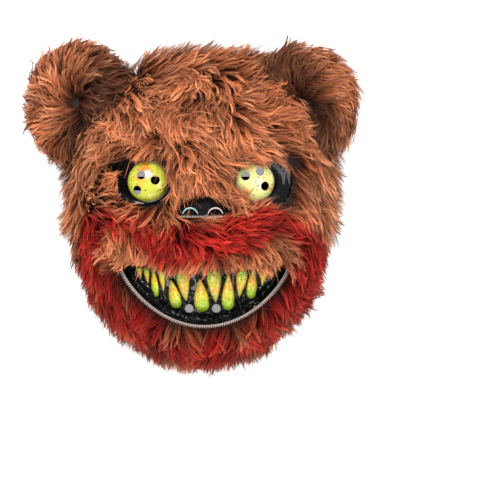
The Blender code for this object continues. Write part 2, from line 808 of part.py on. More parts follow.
def build_rivet(name, side, material):
    """Shank through shell and strap, with a flat head on each end."""
    shank = RIVET_SHANK_DIAMETER / 2
    head = RIVET_HEAD_DIAMETER / 2
    outer = CLEARANCE
    inner = -(SHELL_WALL + WALL_SLACK + STRAP_THICKNESS + CLEARANCE)
    profile = [(0, outer + RIVET_HEAD_THICKNESS), (head, outer + RIVET_HEAD_THICKNESS),
               (head, outer), (shank, outer), (shank, inner), (head, inner),
               (head, inner - RIVET_HEAD_THICKNESS), (0, inner - RIVET_HEAD_THICKNESS)]
    rivet = make_object(name, lathe(profile, 12), material)
    rivet.matrix_world = rivet_matrix(side)
    return rivet


def strap_path():
    """Path of the strap: down inside one wall, across the floor and up the other."""
    outset = -(SHELL_WALL + WALL_SLACK + STRAP_THICKNESS / 2)
    floor = STRAP_FLOOR_GAP + STRAP_THICKNESS / 2
    low = floor + STRAP_BEND
    top = RIVET_Z + 0.75 * RIVET_HEAD_DIAMETER + STRAP_THICKNESS
    half = []
    for step in range(4):
        z = top + (low - top) * step / 3
        half.append(Vector((dome_side(z, outset), 0, z)))
    wall = half[-1].x
    for step in range(1, 5):
        turn = math.pi / 2 * step / 4
        x = wall - STRAP_BEND + STRAP_BEND * math.cos(turn)
        half.append(Vector((x, 0, low - STRAP_BEND * math.sin(turn))))
    mirrored = [Vector((-point.x, 0, point.z)) for point in reversed(half)]
    return half + mirrored


def build_strap(material):
    path = strap_path()
    bm = bmesh.new()
    levels = []
    for index, point in enumerate(path):
        before = path[max(index - 1, 0)]
        after = path[min(index + 1, len(path) - 1)]
        along = (after - before).normalized()
        thin = Vector((along.z, 0, -along.x)) * (STRAP_THICKNESS / 2)
        wide = Vector((0, STRAP_WIDTH / 2, 0))
        corners = (thin + wide, thin - wide, -thin - wide, -thin + wide)
        base = point + Vector((0, STRAP_Y, 0))
        levels.append([bm.verts.new(base + corner) for corner in corners])
    for low, high in zip(levels, levels[1:]):
        for side in range(4):
            following = (side + 1) % 4
            bm.faces.new((low[side], low[following], high[following], high[side]))
    bm.faces.new(levels[0])
    bm.faces.new(levels[-1])
    strap = make_object("strap", bm, material)
    for side in (-1, 1):
        cut(strap, rivet_bore(), rivet_matrix(side))
    return strap


def centre_on_floor(objects):
    """Hang the pieces on an empty that sets the whole box over the origin."""
    bpy.context.view_layer.update()
    corners = [obj.matrix_world @ vert.co for obj in objects for vert in obj.data.vertices]
    low = Vector([min(corner[axis] for corner in corners) for axis in range(3)])
    high = Vector([max(corner[axis] for corner in corners) for axis in range(3)])
    mask = bpy.data.objects.new("mask", None)
    bpy.context.scene.collection.objects.link(mask)
    for obj in objects:
        obj.parent = mask
    mask.location = (-(low.x + high.x) / 2, -(low.y + high.y) / 2, -low.z)
    bpy.context.view_layer.update()


def build():
    for old in list(bpy.data.objects):
        bpy.data.objects.remove(old)
    black = make_material("black_shell", (0.012, 0.012, 0.013), 0.18)
    eye_paint = make_material("eye_paint", (0.55, 0.60, 0.12), 0.25)
    tooth_paint = make_material("tooth_paint", (0.50, 0.62, 0.06), 0.25)
    plush = make_material("plush", (0.32, 0.13, 0.055), 0.9)
    elastic = make_material("elastic", (0.02, 0.02, 0.02), 0.8)
    steel = make_material("rivet_metal", (0.55, 0.55, 0.56), 0.35, 1.0)
    objects = [build_shell(black)]
    objects.append(build_eye("eye_left", -1, eye_paint))
    objects.append(build_eye("eye_right", 1, eye_paint))
    objects.append(build_nose(black))
    objects.append(build_mouth_tray(black))
    for row in TEETH:
        objects.append(build_tooth(row, tooth_paint))
    objects += build_fur(plush)
    objects.append(build_ear("ear_left", -1, plush))
    objects.append(build_ear("ear_right", 1, plush))
    objects.append(build_strap(elastic))
    objects.append(build_rivet("rivet_left", -1, steel))
    objects.append(build_rivet("rivet_right", 1, steel))
    for obj in objects:
        tidy(obj)
    centre_on_floor(objects)


build()
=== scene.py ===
"""Looks of the bear mask: long-pile plush in three panels and two ears over a glossy black shell.

Lengths are metres. The face's own frame has its middle at x = y = 0 and its rim at z = 0; FACE
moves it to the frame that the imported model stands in.
"""
import math

import bmesh
import bpy
import numpy as np
from mathutils import Matrix, Vector


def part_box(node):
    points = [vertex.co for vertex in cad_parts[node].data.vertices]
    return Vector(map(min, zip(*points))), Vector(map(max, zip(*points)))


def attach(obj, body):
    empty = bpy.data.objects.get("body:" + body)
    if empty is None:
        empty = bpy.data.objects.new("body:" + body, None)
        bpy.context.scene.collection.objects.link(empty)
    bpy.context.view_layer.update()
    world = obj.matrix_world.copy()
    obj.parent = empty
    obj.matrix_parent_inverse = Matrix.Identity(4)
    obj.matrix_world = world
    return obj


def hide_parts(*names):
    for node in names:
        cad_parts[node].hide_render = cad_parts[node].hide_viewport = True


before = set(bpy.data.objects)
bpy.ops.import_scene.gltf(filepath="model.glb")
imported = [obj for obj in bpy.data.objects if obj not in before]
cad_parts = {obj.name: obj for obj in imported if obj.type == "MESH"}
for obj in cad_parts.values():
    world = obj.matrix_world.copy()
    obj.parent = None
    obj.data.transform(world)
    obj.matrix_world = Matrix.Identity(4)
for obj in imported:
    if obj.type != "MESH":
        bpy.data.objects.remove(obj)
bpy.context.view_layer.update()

MM = 0.001

# Sizes of the shell, plush and hard pieces, as in the model but for the nostrils' spacing
SHELL_HALF_WIDTH = 0.099
SHELL_HALF_HEIGHT = 0.120
SHELL_DEPTH = 0.078
SHELL_WALL = 0.0016
BROW_SQUARENESS = 3.0
CHIN_SQUARENESS = 2.0
DOME_SQUARENESS = 2.6
MUZZLE_RISE = 0.016
MUZZLE_HALF_WIDTH = 0.070
MUZZLE_HALF_HEIGHT = 0.052
MUZZLE_CENTRE_Y = -0.038
BACKING = 0.0022
HEM = 0.0008

EYE_X = 0.045
EYE_Y = 0.023
EYE_RADIUS = 0.017
EYE_RISE = 0.009
EYE_WALL = 0.0016
EYE_SKIRT = 0.0065
EYE_TILT = math.radians(13)
SIGHT_HOLE_RADIUS = 0.0038
EYE_WINDOW_HALF_WIDTH = 0.025
EYE_WINDOW_HALF_HEIGHT = 0.0205
EYE_WINDOW_OUTWARD = 0.006

NOSE_X = 0.0015
NOSE_BASE_Y = -0.0055
NOSE_HALF_WIDTH = 0.0235
NOSE_HEIGHT = 0.0165
NOSE_RISE = 0.014
NOSTRIL_SPACING = 0.021
NOSTRIL_RADIUS = 0.0062

MOUTH_X = 0.003
MOUTH_Y = -0.0445
MOUTH_HALF_WIDTH = 0.067
MOUTH_HEIGHT = 0.052
MOUTH_END = 0.004
MOUTH_SAG = 0.003
MOUTH_RECESS = 0.006
BREATHING_HOLE_RADIUS = 0.0036
BREATHING_HOLE_SPACING = 0.0230
BREATHING_HOLE_DOWN = 0.0395
TOOTH_THICKNESS = 0.0075

EAR_HALF_WIDTH = 0.047
EAR_HALF_HEIGHT = 0.052
EAR_THICKNESS = 0.032
EAR_LEFT_X = -0.1035
EAR_RIGHT_X = 0.0870
EAR_Y = 0.0890
EAR_Z = 0.038
EAR_TILT = math.radians(14)

STRAP_Y = 0.022

# Where the face's own frame lies in the model's frame
shell_low, shell_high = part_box("face_shell")
strap_low, strap_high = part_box("strap")
FACE = np.array((
    (shell_low[0] + shell_high[0]) / 2,
    (strap_low[1] + strap_high[1]) / 2 - STRAP_Y,
    shell_low[2],
))

# Plush: how the pile is grown
SEGMENTS = 6
PILE_LENGTH = 0.033
STRAND_WIDTH = 0.00047
LOCK_SPACING = 0.011
WISP_SPACING = 0.0028

# Colours, linear. The dark root colours are painted shade deep in the pile.
BROWN_ROOT = (0.030, 0.009, 0.005)
BROWN_MID = (0.27, 0.075, 0.027)
BROWN_TIP = (0.62, 0.215, 0.090)
TAN_TIP = (0.60, 0.275, 0.140)
RED_ROOT = (0.022, 0.001, 0.001)
RED_MID = (0.22, 0.0035, 0.0025)
RED_TIP = (0.42, 0.016, 0.009)

# Seam between brow and muzzle, as shares of the shell's half width and half height
BROW_SEAM_ACROSS = (0.00, 0.28, 0.55, 0.86, 1.16, 1.60)
BROW_SEAM_HEIGHT = (-0.050, -0.048, 0.012, 0.010, -0.160, -0.260)
JAW_SEAM_DROP = 0.40

# How the pile is combed: the way (degrees, 0 to the right and 90 up) that it points at places
# of the face, in millimetres from its middle
COMB = (
    {"x": -52, "y": 131, "way": 70}, {"x": -35, "y": 137, "way": 75}, {"x": -14, "y": 139, "way": 70},
    {"x": 3, "y": 137, "way": 105}, {"x": 20, "y": 133, "way": 120}, {"x": 37, "y": 131, "way": 65},
    {"x": 59, "y": 139, "way": 30}, {"x": -43, "y": 118, "way": 25}, {"x": -9, "y": 125, "way": 0},
    {"x": 12, "y": 118, "way": -15}, {"x": 33, "y": 114, "way": 42}, {"x": 54, "y": 122, "way": 48},
    {"x": 76, "y": 130, "way": 40}, {"x": -77, "y": 97, "way": 180}, {"x": -90, "y": 84, "way": 190},
    {"x": -99, "y": 71, "way": 195}, {"x": -103, "y": 59, "way": 220}, {"x": -62, "y": 105, "way": 200},
    {"x": -62, "y": 88, "way": 262}, {"x": -66, "y": 80, "way": 268}, {"x": -52, "y": 93, "way": 300},
    {"x": -43, "y": 84, "way": 282}, {"x": -31, "y": 84, "way": 305}, {"x": -35, "y": 97, "way": 30},
    {"x": -18, "y": 93, "way": 205}, {"x": 0, "y": 88, "way": 225}, {"x": 3, "y": 101, "way": 240},
    {"x": 15, "y": 93, "way": 266}, {"x": 29, "y": 93, "way": 30}, {"x": 50, "y": 97, "way": 22},
    {"x": 71, "y": 101, "way": 10}, {"x": 84, "y": 97, "way": -20}, {"x": 97, "y": 88, "way": -30},
    {"x": 106, "y": 80, "way": -5}, {"x": 76, "y": 84, "way": -5}, {"x": 50, "y": 80, "way": 0},
    {"x": 33, "y": 67, "way": -45}, {"x": 12, "y": 63, "way": -55}, {"x": 50, "y": 59, "way": -10},
    {"x": 76, "y": 54, "way": -6}, {"x": 93, "y": 67, "way": -68}, {"x": 101, "y": 59, "way": -75},
    {"x": 59, "y": 46, "way": -15}, {"x": 42, "y": 46, "way": -20}, {"x": -94, "y": 50, "way": 232},
    {"x": -107, "y": 42, "way": 255}, {"x": -77, "y": 50, "way": 212}, {"x": -60, "y": 58, "way": 205},
    {"x": -43, "y": 58, "way": 195}, {"x": -26, "y": 54, "way": 200}, {"x": -43, "y": 69, "way": 330},
    {"x": -18, "y": 71, "way": 350}, {"x": -5, "y": 67, "way": 300}, {"x": -22, "y": 50, "way": 268},
    {"x": -31, "y": 44, "way": 255}, {"x": -9, "y": 42, "way": 262}, {"x": 3, "y": 33, "way": 290},
    {"x": 12, "y": 25, "way": 300}, {"x": 16, "y": 12, "way": 310}, {"x": 20, "y": 37, "way": 300},
    {"x": -22, "y": 16, "way": 252}, {"x": -28, "y": 20, "way": 305}, {"x": -25, "y": 3, "way": 280},
    {"x": -43, "y": 8, "way": 200}, {"x": -52, "y": -1, "way": 190}, {"x": -73, "y": 16, "way": 42},
    {"x": -82, "y": 25, "way": 35}, {"x": -86, "y": 8, "way": 40}, {"x": -99, "y": 16, "way": 250},
    {"x": -111, "y": 8, "way": 258}, {"x": -118, "y": -9, "way": 262}, {"x": -120, "y": -35, "way": 248},
    {"x": -107, "y": -52, "way": 250}, {"x": -99, "y": -69, "way": 240}, {"x": -86, "y": -86, "way": 235},
    {"x": -73, "y": -99, "way": 240}, {"x": -60, "y": -107, "way": 248}, {"x": -35, "y": -120, "way": 258},
    {"x": -18, "y": -122, "way": 265}, {"x": 0, "y": -128, "way": 270}, {"x": 12, "y": -130, "way": 276},
    {"x": 33, "y": -124, "way": 290}, {"x": 54, "y": -107, "way": 300}, {"x": 76, "y": -86, "way": 315},
    {"x": 97, "y": -60, "way": 325}, {"x": 110, "y": -45, "way": 340}, {"x": 114, "y": -26, "way": 340},
    {"x": 114, "y": -14, "way": 335}, {"x": 114, "y": 3, "way": 315}, {"x": 114, "y": 25, "way": 300},
    {"x": 97, "y": 37, "way": 285}, {"x": 84, "y": 33, "way": 300}, {"x": 93, "y": 8, "way": 340},
    {"x": 84, "y": -5, "way": 310}, {"x": 101, "y": -18, "way": 305}, {"x": 38, "y": 8, "way": 75},
    {"x": 30, "y": 0, "way": 60}, {"x": 52, "y": -2, "way": 25}, {"x": 66, "y": -2, "way": -25},
    {"x": -103, "y": -5, "way": 250}, {"x": -101, "y": -14, "way": 250}, {"x": -86, "y": 3, "way": 20},
    {"x": -69, "y": -5, "way": -30}, {"x": -94, "y": -22, "way": 240}, {"x": -60, "y": -7, "way": -20},
    {"x": -65, "y": -24, "way": 205}, {"x": -52, "y": -37, "way": 212}, {"x": -69, "y": -35, "way": 192},
    {"x": -43, "y": -14, "way": 320}, {"x": -35, "y": -22, "way": 275}, {"x": -22, "y": -16, "way": 250},
    {"x": -9, "y": -14, "way": 15}, {"x": 0, "y": -35, "way": 250}, {"x": -18, "y": -40, "way": 235},
    {"x": 16, "y": -22, "way": 0}, {"x": 42, "y": -14, "way": 2}, {"x": 67, "y": -14, "way": -10},
    {"x": 25, "y": -35, "way": 285}, {"x": 42, "y": -40, "way": 275}, {"x": 54, "y": -43, "way": 285},
    {"x": 63, "y": -40, "way": 300}, {"x": 76, "y": -27, "way": 318}, {"x": 93, "y": -27, "way": 290},
    {"x": -43, "y": -45, "way": 255}, {"x": -60, "y": -77, "way": 238}, {"x": -43, "y": -90, "way": 252},
    {"x": -69, "y": -69, "way": 238}, {"x": -18, "y": -107, "way": 265}, {"x": 16, "y": -107, "way": 278},
    {"x": 42, "y": -99, "way": 300}, {"x": 67, "y": -77, "way": 325}, {"x": 84, "y": -52, "way": 325},
)

# Red dye: strokes through places of the face, in millimetres, with the half width at each
DYE = (
    ({"x": -93, "y": -11, "half": 11}, {"x": -73, "y": -9, "half": 9}, {"x": -52, "y": -18, "half": 11},
     {"x": -30, "y": -26, "half": 13}, {"x": -1, "y": -27, "half": 17}, {"x": 29, "y": -21, "half": 17},
     {"x": 59, "y": -14, "half": 12}, {"x": 84, "y": -18, "half": 12}),
    ({"x": 84, "y": -18, "half": 11}, {"x": 95, "y": -36, "half": 13}, {"x": 88, "y": -66, "half": 13},
     {"x": 73, "y": -86, "half": 11}, {"x": 52, "y": -107, "half": 10}, {"x": 29, "y": -121, "half": 9},
     {"x": 3, "y": -124, "half": 9}, {"x": -18, "y": -121, "half": 9}),
    ({"x": -93, "y": -11, "half": 11}, {"x": -94, "y": -35, "half": 10}, {"x": -92, "y": -54, "half": 9},
     {"x": -79, "y": -73, "half": 10}, {"x": -65, "y": -90, "half": 11}, {"x": -48, "y": -105, "half": 11},
     {"x": -31, "y": -118, "half": 10}, {"x": -14, "y": -122, "half": 9}),
    ({"x": -30, "y": -31, "half": 11}, {"x": 14, "y": -33, "half": 10}),
)


def muzzle(x, y):
    """Height of the muzzle bulge."""
    reach = (x / MUZZLE_HALF_WIDTH) ** 2 + ((y - MUZZLE_CENTRE_Y) / MUZZLE_HALF_HEIGHT) ** 2
    return MUZZLE_RISE * np.clip(1 - reach, 0, 1) ** 2


def dome_height(x, y, outset):
    """Height of the dome over points of the face."""
    x = np.asarray(x, float)
    y = np.asarray(y, float)
    power = np.where(y > 0, BROW_SQUARENESS, CHIN_SQUARENESS)
    reach = (np.abs(x / (SHELL_HALF_WIDTH + outset)) ** power
             + np.abs(y / (SHELL_HALF_HEIGHT + outset)) ** power) ** (1 / power)
    rise = (1 - np.minimum(reach, 1) ** DOME_SQUARENESS) ** (1 / DOME_SQUARENESS)
    return (SHELL_DEPTH + outset) * rise + muzzle(x, y) * np.minimum(1, 4 * rise)


def dome_grid(outset, rings, sides, low=0.0):
    """Points of the dome in rings from its middle to its rim, as an array (rings, sides, 3)."""
    polar = np.linspace(0, 1, rings + 1)[1:, None]
    turn = np.linspace(0, 2 * np.pi, sides, endpoint=False)[None, :]
    power = np.where(np.sin(turn) > 0, BROW_SQUARENESS, CHIN_SQUARENESS)
    spread = (np.abs(np.cos(turn)) ** power + np.abs(np.sin(turn)) ** power) ** (-1 / power)
    reach = np.sin(polar * np.pi / 2) ** (2 / DOME_SQUARENESS)
    rise = np.maximum(np.cos(polar * np.pi / 2), 0) ** (2 / DOME_SQUARENESS)
    x = (SHELL_HALF_WIDTH + outset) * reach * spread * np.cos(turn)
    y = (SHELL_HALF_HEIGHT + outset) * reach * spread * np.sin(turn)
    z = (SHELL_DEPTH + outset) * rise + muzzle(x, y) * np.minimum(1, 4 * rise)
    z = np.maximum(z, low)
    return np.stack((x, y, z + 0 * x), axis=-1)


def dome_normal(points):
    """Outward direction of the dome at points near it."""
    x, y, z = points.T
    z = np.maximum(z - muzzle(x, y), 0.0005)
    power = np.where(y > 0, BROW_SQUARENESS, CHIN_SQUARENESS)
    ax = np.abs(x) / (SHELL_HALF_WIDTH + 0.008)
    ay = np.abs(y) / (SHELL_HALF_HEIGHT + 0.008)
    az = z / (SHELL_DEPTH + 0.008)
    rho = np.maximum((ax ** power + ay ** power) ** (1 / power), 0.02)
    common = rho ** (DOME_SQUARENESS - power)
    nx = common * ax ** (power - 1) * np.sign(x) / SHELL_HALF_WIDTH
    ny = common * ay ** (power - 1) * np.sign(y) / SHELL_HALF_HEIGHT
    nz = az ** (DOME_SQUARENESS - 1) / SHELL_DEPTH
    step = 0.001
    nx = nx - nz * (muzzle(x + step, y) - muzzle(x - step, y)) / (2 * step)
    ny = ny - nz * (muzzle(x, y + step) - muzzle(x, y - step)) / (2 * step)
    return unit(np.stack((nx, ny, nz), axis=-1))


def unit(vectors):
    return vectors / np.maximum(np.linalg.norm(vectors, axis=-1, keepdims=True), 1e-9)


def field(seed, points, scale):
    """Smooth random field, about -1 to 1, at points."""
    source = np.random.default_rng(seed)
    total = np.zeros(len(points))
    waves = 9
    for _ in range(waves):
        way = unit(source.normal(size=3)) * (2 * np.pi / scale) * source.uniform(0.6, 1.5)
        total += np.sin(points @ way + source.uniform(0, 2 * np.pi))
    return total / math.sqrt(waves)


def smooth(low, high, value):
    share = np.clip((value - low) / (high - low), 0, 1)
    return share * share * (3 - 2 * share)


def seam_height(x):
    """Height of the seam between brow and muzzle."""
    across = np.abs(x) / SHELL_HALF_WIDTH
    result = np.full_like(across, BROW_SEAM_HEIGHT[-1])
    for index in range(len(BROW_SEAM_ACROSS) - 1, 0, -1):
        low, high = BROW_SEAM_ACROSS[index - 1], BROW_SEAM_ACROSS[index]
        share = smooth(low, high, across)
        value = BROW_SEAM_HEIGHT[index - 1]
        value = value + share * (BROW_SEAM_HEIGHT[index] - BROW_SEAM_HEIGHT[index - 1])
        result = np.where(across <= high, value, result)
    return result * SHELL_HALF_HEIGHT


def jaw_seam_height(x):
    outside = np.maximum(np.abs(x - MOUTH_X) - MOUTH_HALF_WIDTH, 0)
    return MOUTH_Y - MOUTH_END / 2 - JAW_SEAM_DROP * outside


def mouth_edges(x, grow):
    """Upper and lower edge of the mouth over x, and whether x lies between its corners."""
    share = (x - MOUTH_X) / (MOUTH_HALF_WIDTH + 1.4 * grow)
    curve = np.clip(1 - share * share, 0, 1)
    upper = MOUTH_Y - MOUTH_SAG * curve + grow
    lower = MOUTH_Y - MOUTH_END - (MOUTH_HEIGHT - MOUTH_END) * curve ** 0.8 - grow
    return upper, lower, np.abs(share) <= 1


def in_mouth(x, y, grow):
    upper, lower, within = mouth_edges(x, grow)
    return within & (y < upper) & (y > lower)


def in_eye_window(x, y, grow):
    centre = EYE_X + EYE_WINDOW_OUTWARD
    across = (np.abs(x) - centre) / (EYE_WINDOW_HALF_WIDTH + grow)
    up = (y - EYE_Y) / (EYE_WINDOW_HALF_HEIGHT + grow)
    return np.abs(across) ** 2.8 + np.abs(up) ** 2.8 < 1


def in_nose(x, y, grow):
    across = (x - NOSE_X) / (NOSE_HALF_WIDTH + grow)
    up = (y - NOSE_BASE_Y) / (NOSE_HEIGHT + grow)
    return (across ** 2 + up ** 2 < 1) & (y > NOSE_BASE_Y - grow)


# Materials

def node_material(name, roughness, colour=(0.5, 0.5, 0.5), metallic=0.0, coat=0.0, specular=0.5):
    material = bpy.data.materials.new(name)
    material.use_nodes = True
    shader = material.node_tree.nodes["Principled BSDF"]
    shader.inputs["Base Color"].default_value = (*colour, 1)
    shader.inputs["Roughness"].default_value = roughness
    shader.inputs["Metallic"].default_value = metallic
    shader.inputs["Coat Weight"].default_value = coat
    shader.inputs["Coat Roughness"].default_value = 0.06
    shader.inputs["Specular IOR Level"].default_value = specular
    return material, material.node_tree.nodes, material.node_tree.links, shader


def add_ramp(nodes, stops):
    """Colour ramp with (place, colour) stops."""
    ramp = nodes.new("ShaderNodeValToRGB")
    while len(ramp.color_ramp.elements) > 1:
        ramp.color_ramp.elements.remove(ramp.color_ramp.elements[0])
    ramp.color_ramp.elements[0].position = stops[0][0]
    ramp.color_ramp.elements[0].color = (*stops[0][1], 1)
    for place, colour in stops[1:]:
        element = ramp.color_ramp.elements.new(place)
        element.color = (*colour, 1)
    return ramp


def add_noise(nodes, links, source, scale, detail=3.0):
    noise = nodes.new("ShaderNodeTexNoise")
    noise.inputs["Scale"].default_value = scale
    noise.inputs["Detail"].default_value = detail
    links.new(source, noise.inputs["Vector"])
    return noise


def add_mix(nodes, links, factor, first, second, blend="MIX"):
    """Colour mix; each colour is an output socket or a plain colour."""
    mix = nodes.new("ShaderNodeMix")
    mix.data_type = "RGBA"
    mix.blend_type = blend
    for socket, value in ((0, factor), (6, first), (7, second)):
        if isinstance(value, bpy.types.NodeSocket):
            links.new(value, mix.inputs[socket])
        elif socket == 0:
            mix.inputs[0].default_value = value
        else:
            mix.inputs[socket].default_value = (*value, 1)
    return mix.outputs[2]


def add_bump(nodes, links, height, strength, distance, shader):
    bump = nodes.new("ShaderNodeBump")
    bump.inputs["Strength"].default_value = strength
    bump.inputs["Distance"].default_value = distance
    links.new(height, bump.inputs["Height"])
    links.new(bump.outputs["Normal"], shader.inputs["Normal"])


def pile_material():
    """Pile: the colour of each strand, with its painted shade, is on the mesh, from root to tip."""
    material, nodes, links, shader = node_material("pile", 0.6, BROWN_MID, specular=0.12)
    tint = nodes.new("ShaderNodeAttribute")
    tint.attribute_name = "tint"
    links.new(tint.outputs["Color"], shader.inputs["Base Color"])
    return material


def backing_material():
    """Knitted backing under the pile, given the pile's dark root colour: painted shade under the pile."""
    material, nodes, links, shader = node_material("backing", 0.95, BROWN_ROOT)
    place = nodes.new("ShaderNodeTexCoord").outputs["Object"]
    tint = nodes.new("ShaderNodeAttribute")
    tint.attribute_name = "tint"
    noise = add_noise(nodes, links, place, 600)
    ramp = add_ramp(nodes, ((0.35, (0.35, 0.35, 0.35)), (0.7, (1.0, 1.0, 1.0))))
    links.new(noise.outputs["Fac"], ramp.inputs["Fac"])
    colour = add_mix(nodes, links, 1.0, tint.outputs["Color"], ramp.outputs["Color"], "MULTIPLY")
    links.new(colour, shader.inputs["Base Color"])
    add_bump(nodes, links, noise.outputs["Fac"], 0.6, 0.0006, shader)
    return material


def black_material(name, roughness, coat):
    """Glossy black moulded plastic with a faint unevenness."""
    material, nodes, links, shader = node_material(name, roughness, (0.004, 0.004, 0.0045),
                                                   coat=coat, specular=0.15)
    place = nodes.new("ShaderNodeTexCoord").outputs["Object"]
    broad = add_noise(nodes, links, place, 45, 2)
    fine = add_noise(nodes, links, place, 420, 4)
    ramp = add_ramp(nodes, ((0.3, (0.002, 0.002, 0.002)), (0.75, (0.008, 0.008, 0.008))))
    links.new(fine.outputs["Fac"], ramp.inputs["Fac"])
    links.new(ramp.outputs["Color"], shader.inputs["Base Color"])
    add_bump(nodes, links, broad.outputs["Fac"], 0.25, 0.002, shader)
    return material


def splatter(nodes, links, vector, base, scale, size, colour, seed):
    """Round paint splashes over a base colour, where a coarse noise lets them show."""
    shift = nodes.new("ShaderNodeVectorMath")
    shift.operation = "ADD"
    shift.inputs[1].default_value = (seed, seed * 1.7, seed * 0.6)
    links.new(vector, shift.inputs[0])
    cells = nodes.new("ShaderNodeTexVoronoi")
    cells.inputs["Scale"].default_value = scale
    cells.inputs["Randomness"].default_value = 1.0
    links.new(shift.outputs["Vector"], cells.inputs["Vector"])
    drop = add_ramp(nodes, ((size, (1, 1, 1)), (size * 1.25, (0, 0, 0))))
    links.new(cells.outputs["Distance"], drop.inputs["Fac"])
    patch = add_noise(nodes, links, shift.outputs["Vector"], scale * 0.28, 2)
    gate = add_ramp(nodes, ((0.47, (0, 0, 0)), (0.55, (1, 1, 1))))
    links.new(patch.outputs["Fac"], gate.inputs["Fac"])
    factor = add_mix(nodes, links, 1.0, drop.outputs["Color"], gate.outputs["Color"], "MULTIPLY")
    return add_mix(nodes, links, factor, base, colour)


def tooth_material():
    """Teeth: lime at the base, yellow to orange towards the point, with red splashes."""
    material, nodes, links, shader = node_material("tooth_paint", 0.28, (0.5, 0.6, 0.06), coat=0.6)
    place = nodes.new("ShaderNodeTexCoord").outputs["Object"]
    along = nodes.new("ShaderNodeAttribute")
    along.attribute_name = "along"
    noise = add_noise(nodes, links, place, 260, 3)
    wobble = nodes.new("ShaderNodeMath")
    wobble.operation = "MULTIPLY_ADD"
    wobble.inputs[1].default_value = 0.45
    links.new(noise.outputs["Fac"], wobble.inputs[0])
    links.new(along.outputs["Fac"], wobble.inputs[2])
    ramp = add_ramp(nodes, (
        (0.22, (0.23, 0.42, 0.015)), (0.45, (0.42, 0.62, 0.03)), (0.68, (0.72, 0.66, 0.03)),
        (0.90, (0.80, 0.42, 0.02)), (1.10, (0.62, 0.55, 0.06))))
    links.new(wobble.outputs["Value"], ramp.inputs["Fac"])
    streak = add_noise(nodes, links, place, 900, 5)
    veil = add_ramp(nodes, ((0.35, (0.62, 0.62, 0.55)), (0.6, (1, 1, 1))))
    links.new(streak.outputs["Fac"], veil.inputs["Fac"])
    colour = add_mix(nodes, links, 1.0, ramp.outputs["Color"], veil.outputs["Color"], "MULTIPLY")
    colour = splatter(nodes, links, place, colour, 420, 0.26, (0.62, 0.03, 0.01), 1.3)
    colour = splatter(nodes, links, place, colour, 620, 0.22, (0.05, 0.015, 0.008), 5.1)
    links.new(colour, shader.inputs["Base Color"])
    add_bump(nodes, links, noise.outputs["Fac"], 0.3, 0.001, shader)
    return material


def eye_material(name, pale, flesh, stain, seed):
    """Painted eye: pale ground, a stained side that is on the mesh, splashes and fine veins."""
    material, nodes, links, shader = node_material(name, 0.22, pale, coat=0.8)
    place = nodes.new("ShaderNodeTexCoord").outputs["Object"]
    weight = nodes.new("ShaderNodeAttribute")
    weight.attribute_name = "stain"
    noise = add_noise(nodes, links, place, 150, 4)
    push = nodes.new("ShaderNodeMath")
    push.operation = "MULTIPLY_ADD"
    push.inputs[1].default_value = 0.9
    links.new(noise.outputs["Fac"], push.inputs[0])
    links.new(weight.outputs["Fac"], push.inputs[2])
    edge = add_ramp(nodes, ((0.62, (0, 0, 0)), (0.86, (1, 1, 1))))
    links.new(push.outputs["Value"], edge.inputs["Fac"])
    core = add_ramp(nodes, ((0.98, (0, 0, 0)), (1.0, (1, 1, 1))))
    deep = nodes.new("ShaderNodeMath")
    deep.operation = "MULTIPLY"
    deep.inputs[1].default_value = 0.80
    links.new(push.outputs["Value"], deep.inputs[0])
    links.new(deep.outputs["Value"], core.inputs["Fac"])
    colour = add_mix(nodes, links, edge.outputs["Color"], pale, flesh)
    colour = add_mix(nodes, links, core.outputs["Color"], colour, stain)
    colour = splatter(nodes, links, place, colour, 330, 0.24, stain, seed)
    colour = splatter(nodes, links, place, colour, 520, 0.20, (0.06, 0.05, 0.01), seed + 3)
    links.new(colour, shader.inputs["Base Color"])
    return material


def thread_and_highlight_material(name, colour, scale=1500):
    """Pale or dark thread with a fine twist; also the pale painted highlights on the nostril rings and the
    pale line along the nose's edge.
    """
    material, nodes, links, shader = node_material(name, 0.75, colour)
    place = nodes.new("ShaderNodeTexCoord").outputs["Object"]
    noise = add_noise(nodes, links, place, scale, 2)
    dark = tuple(0.55 * value for value in colour)
    ramp = add_ramp(nodes, ((0.35, dark), (0.65, colour)))
    links.new(noise.outputs["Fac"], ramp.inputs["Fac"])
    links.new(ramp.outputs["Color"], shader.inputs["Base Color"])
    add_bump(nodes, links, noise.outputs["Fac"], 0.5, 0.0003, shader)
    return material


# Mesh helpers

def add_piece(name, bm, material, smooth_angle=50):
    """Piece in the model's frame from a mesh in the face's frame."""
    bmesh.ops.translate(bm, verts=bm.verts, vec=Vector(FACE))
    mesh = bpy.data.meshes.new(name)
    bm.to_mesh(mesh)
    bm.free()
    return finish_piece(name, mesh, material, smooth_angle)


def finish_piece(name, mesh, material, smooth_angle):
    obj = bpy.data.objects.new(name, mesh)
    bpy.context.scene.collection.objects.link(obj)
    mesh.materials.append(material)
    mesh.shade_smooth()
    if smooth_angle < 180:
        mesh.set_sharp_from_angle(angle=math.radians(smooth_angle))
    return obj


def grid_mesh(points, closed_round, cap=None):
    """Mesh from an array (rows, columns, 3) of points, with an optional middle point."""
    bm = bmesh.new()
    rows, columns = points.shape[:2]
    verts = [[bm.verts.new(points[row, column]) for column in range(columns)]
             for row in range(rows)]
    last = columns if closed_round else columns - 1
    for row in range(rows - 1):
        for column in range(last):
            following = (column + 1) % columns
            bm.faces.new((verts[row][column], verts[row + 1][column],
                          verts[row + 1][following], verts[row][following]))
    if cap is not None:
        middle = bm.verts.new(cap)
        for column in range(last):
            bm.faces.new((middle, verts[0][column], verts[0][(column + 1) % columns]))
    return bm


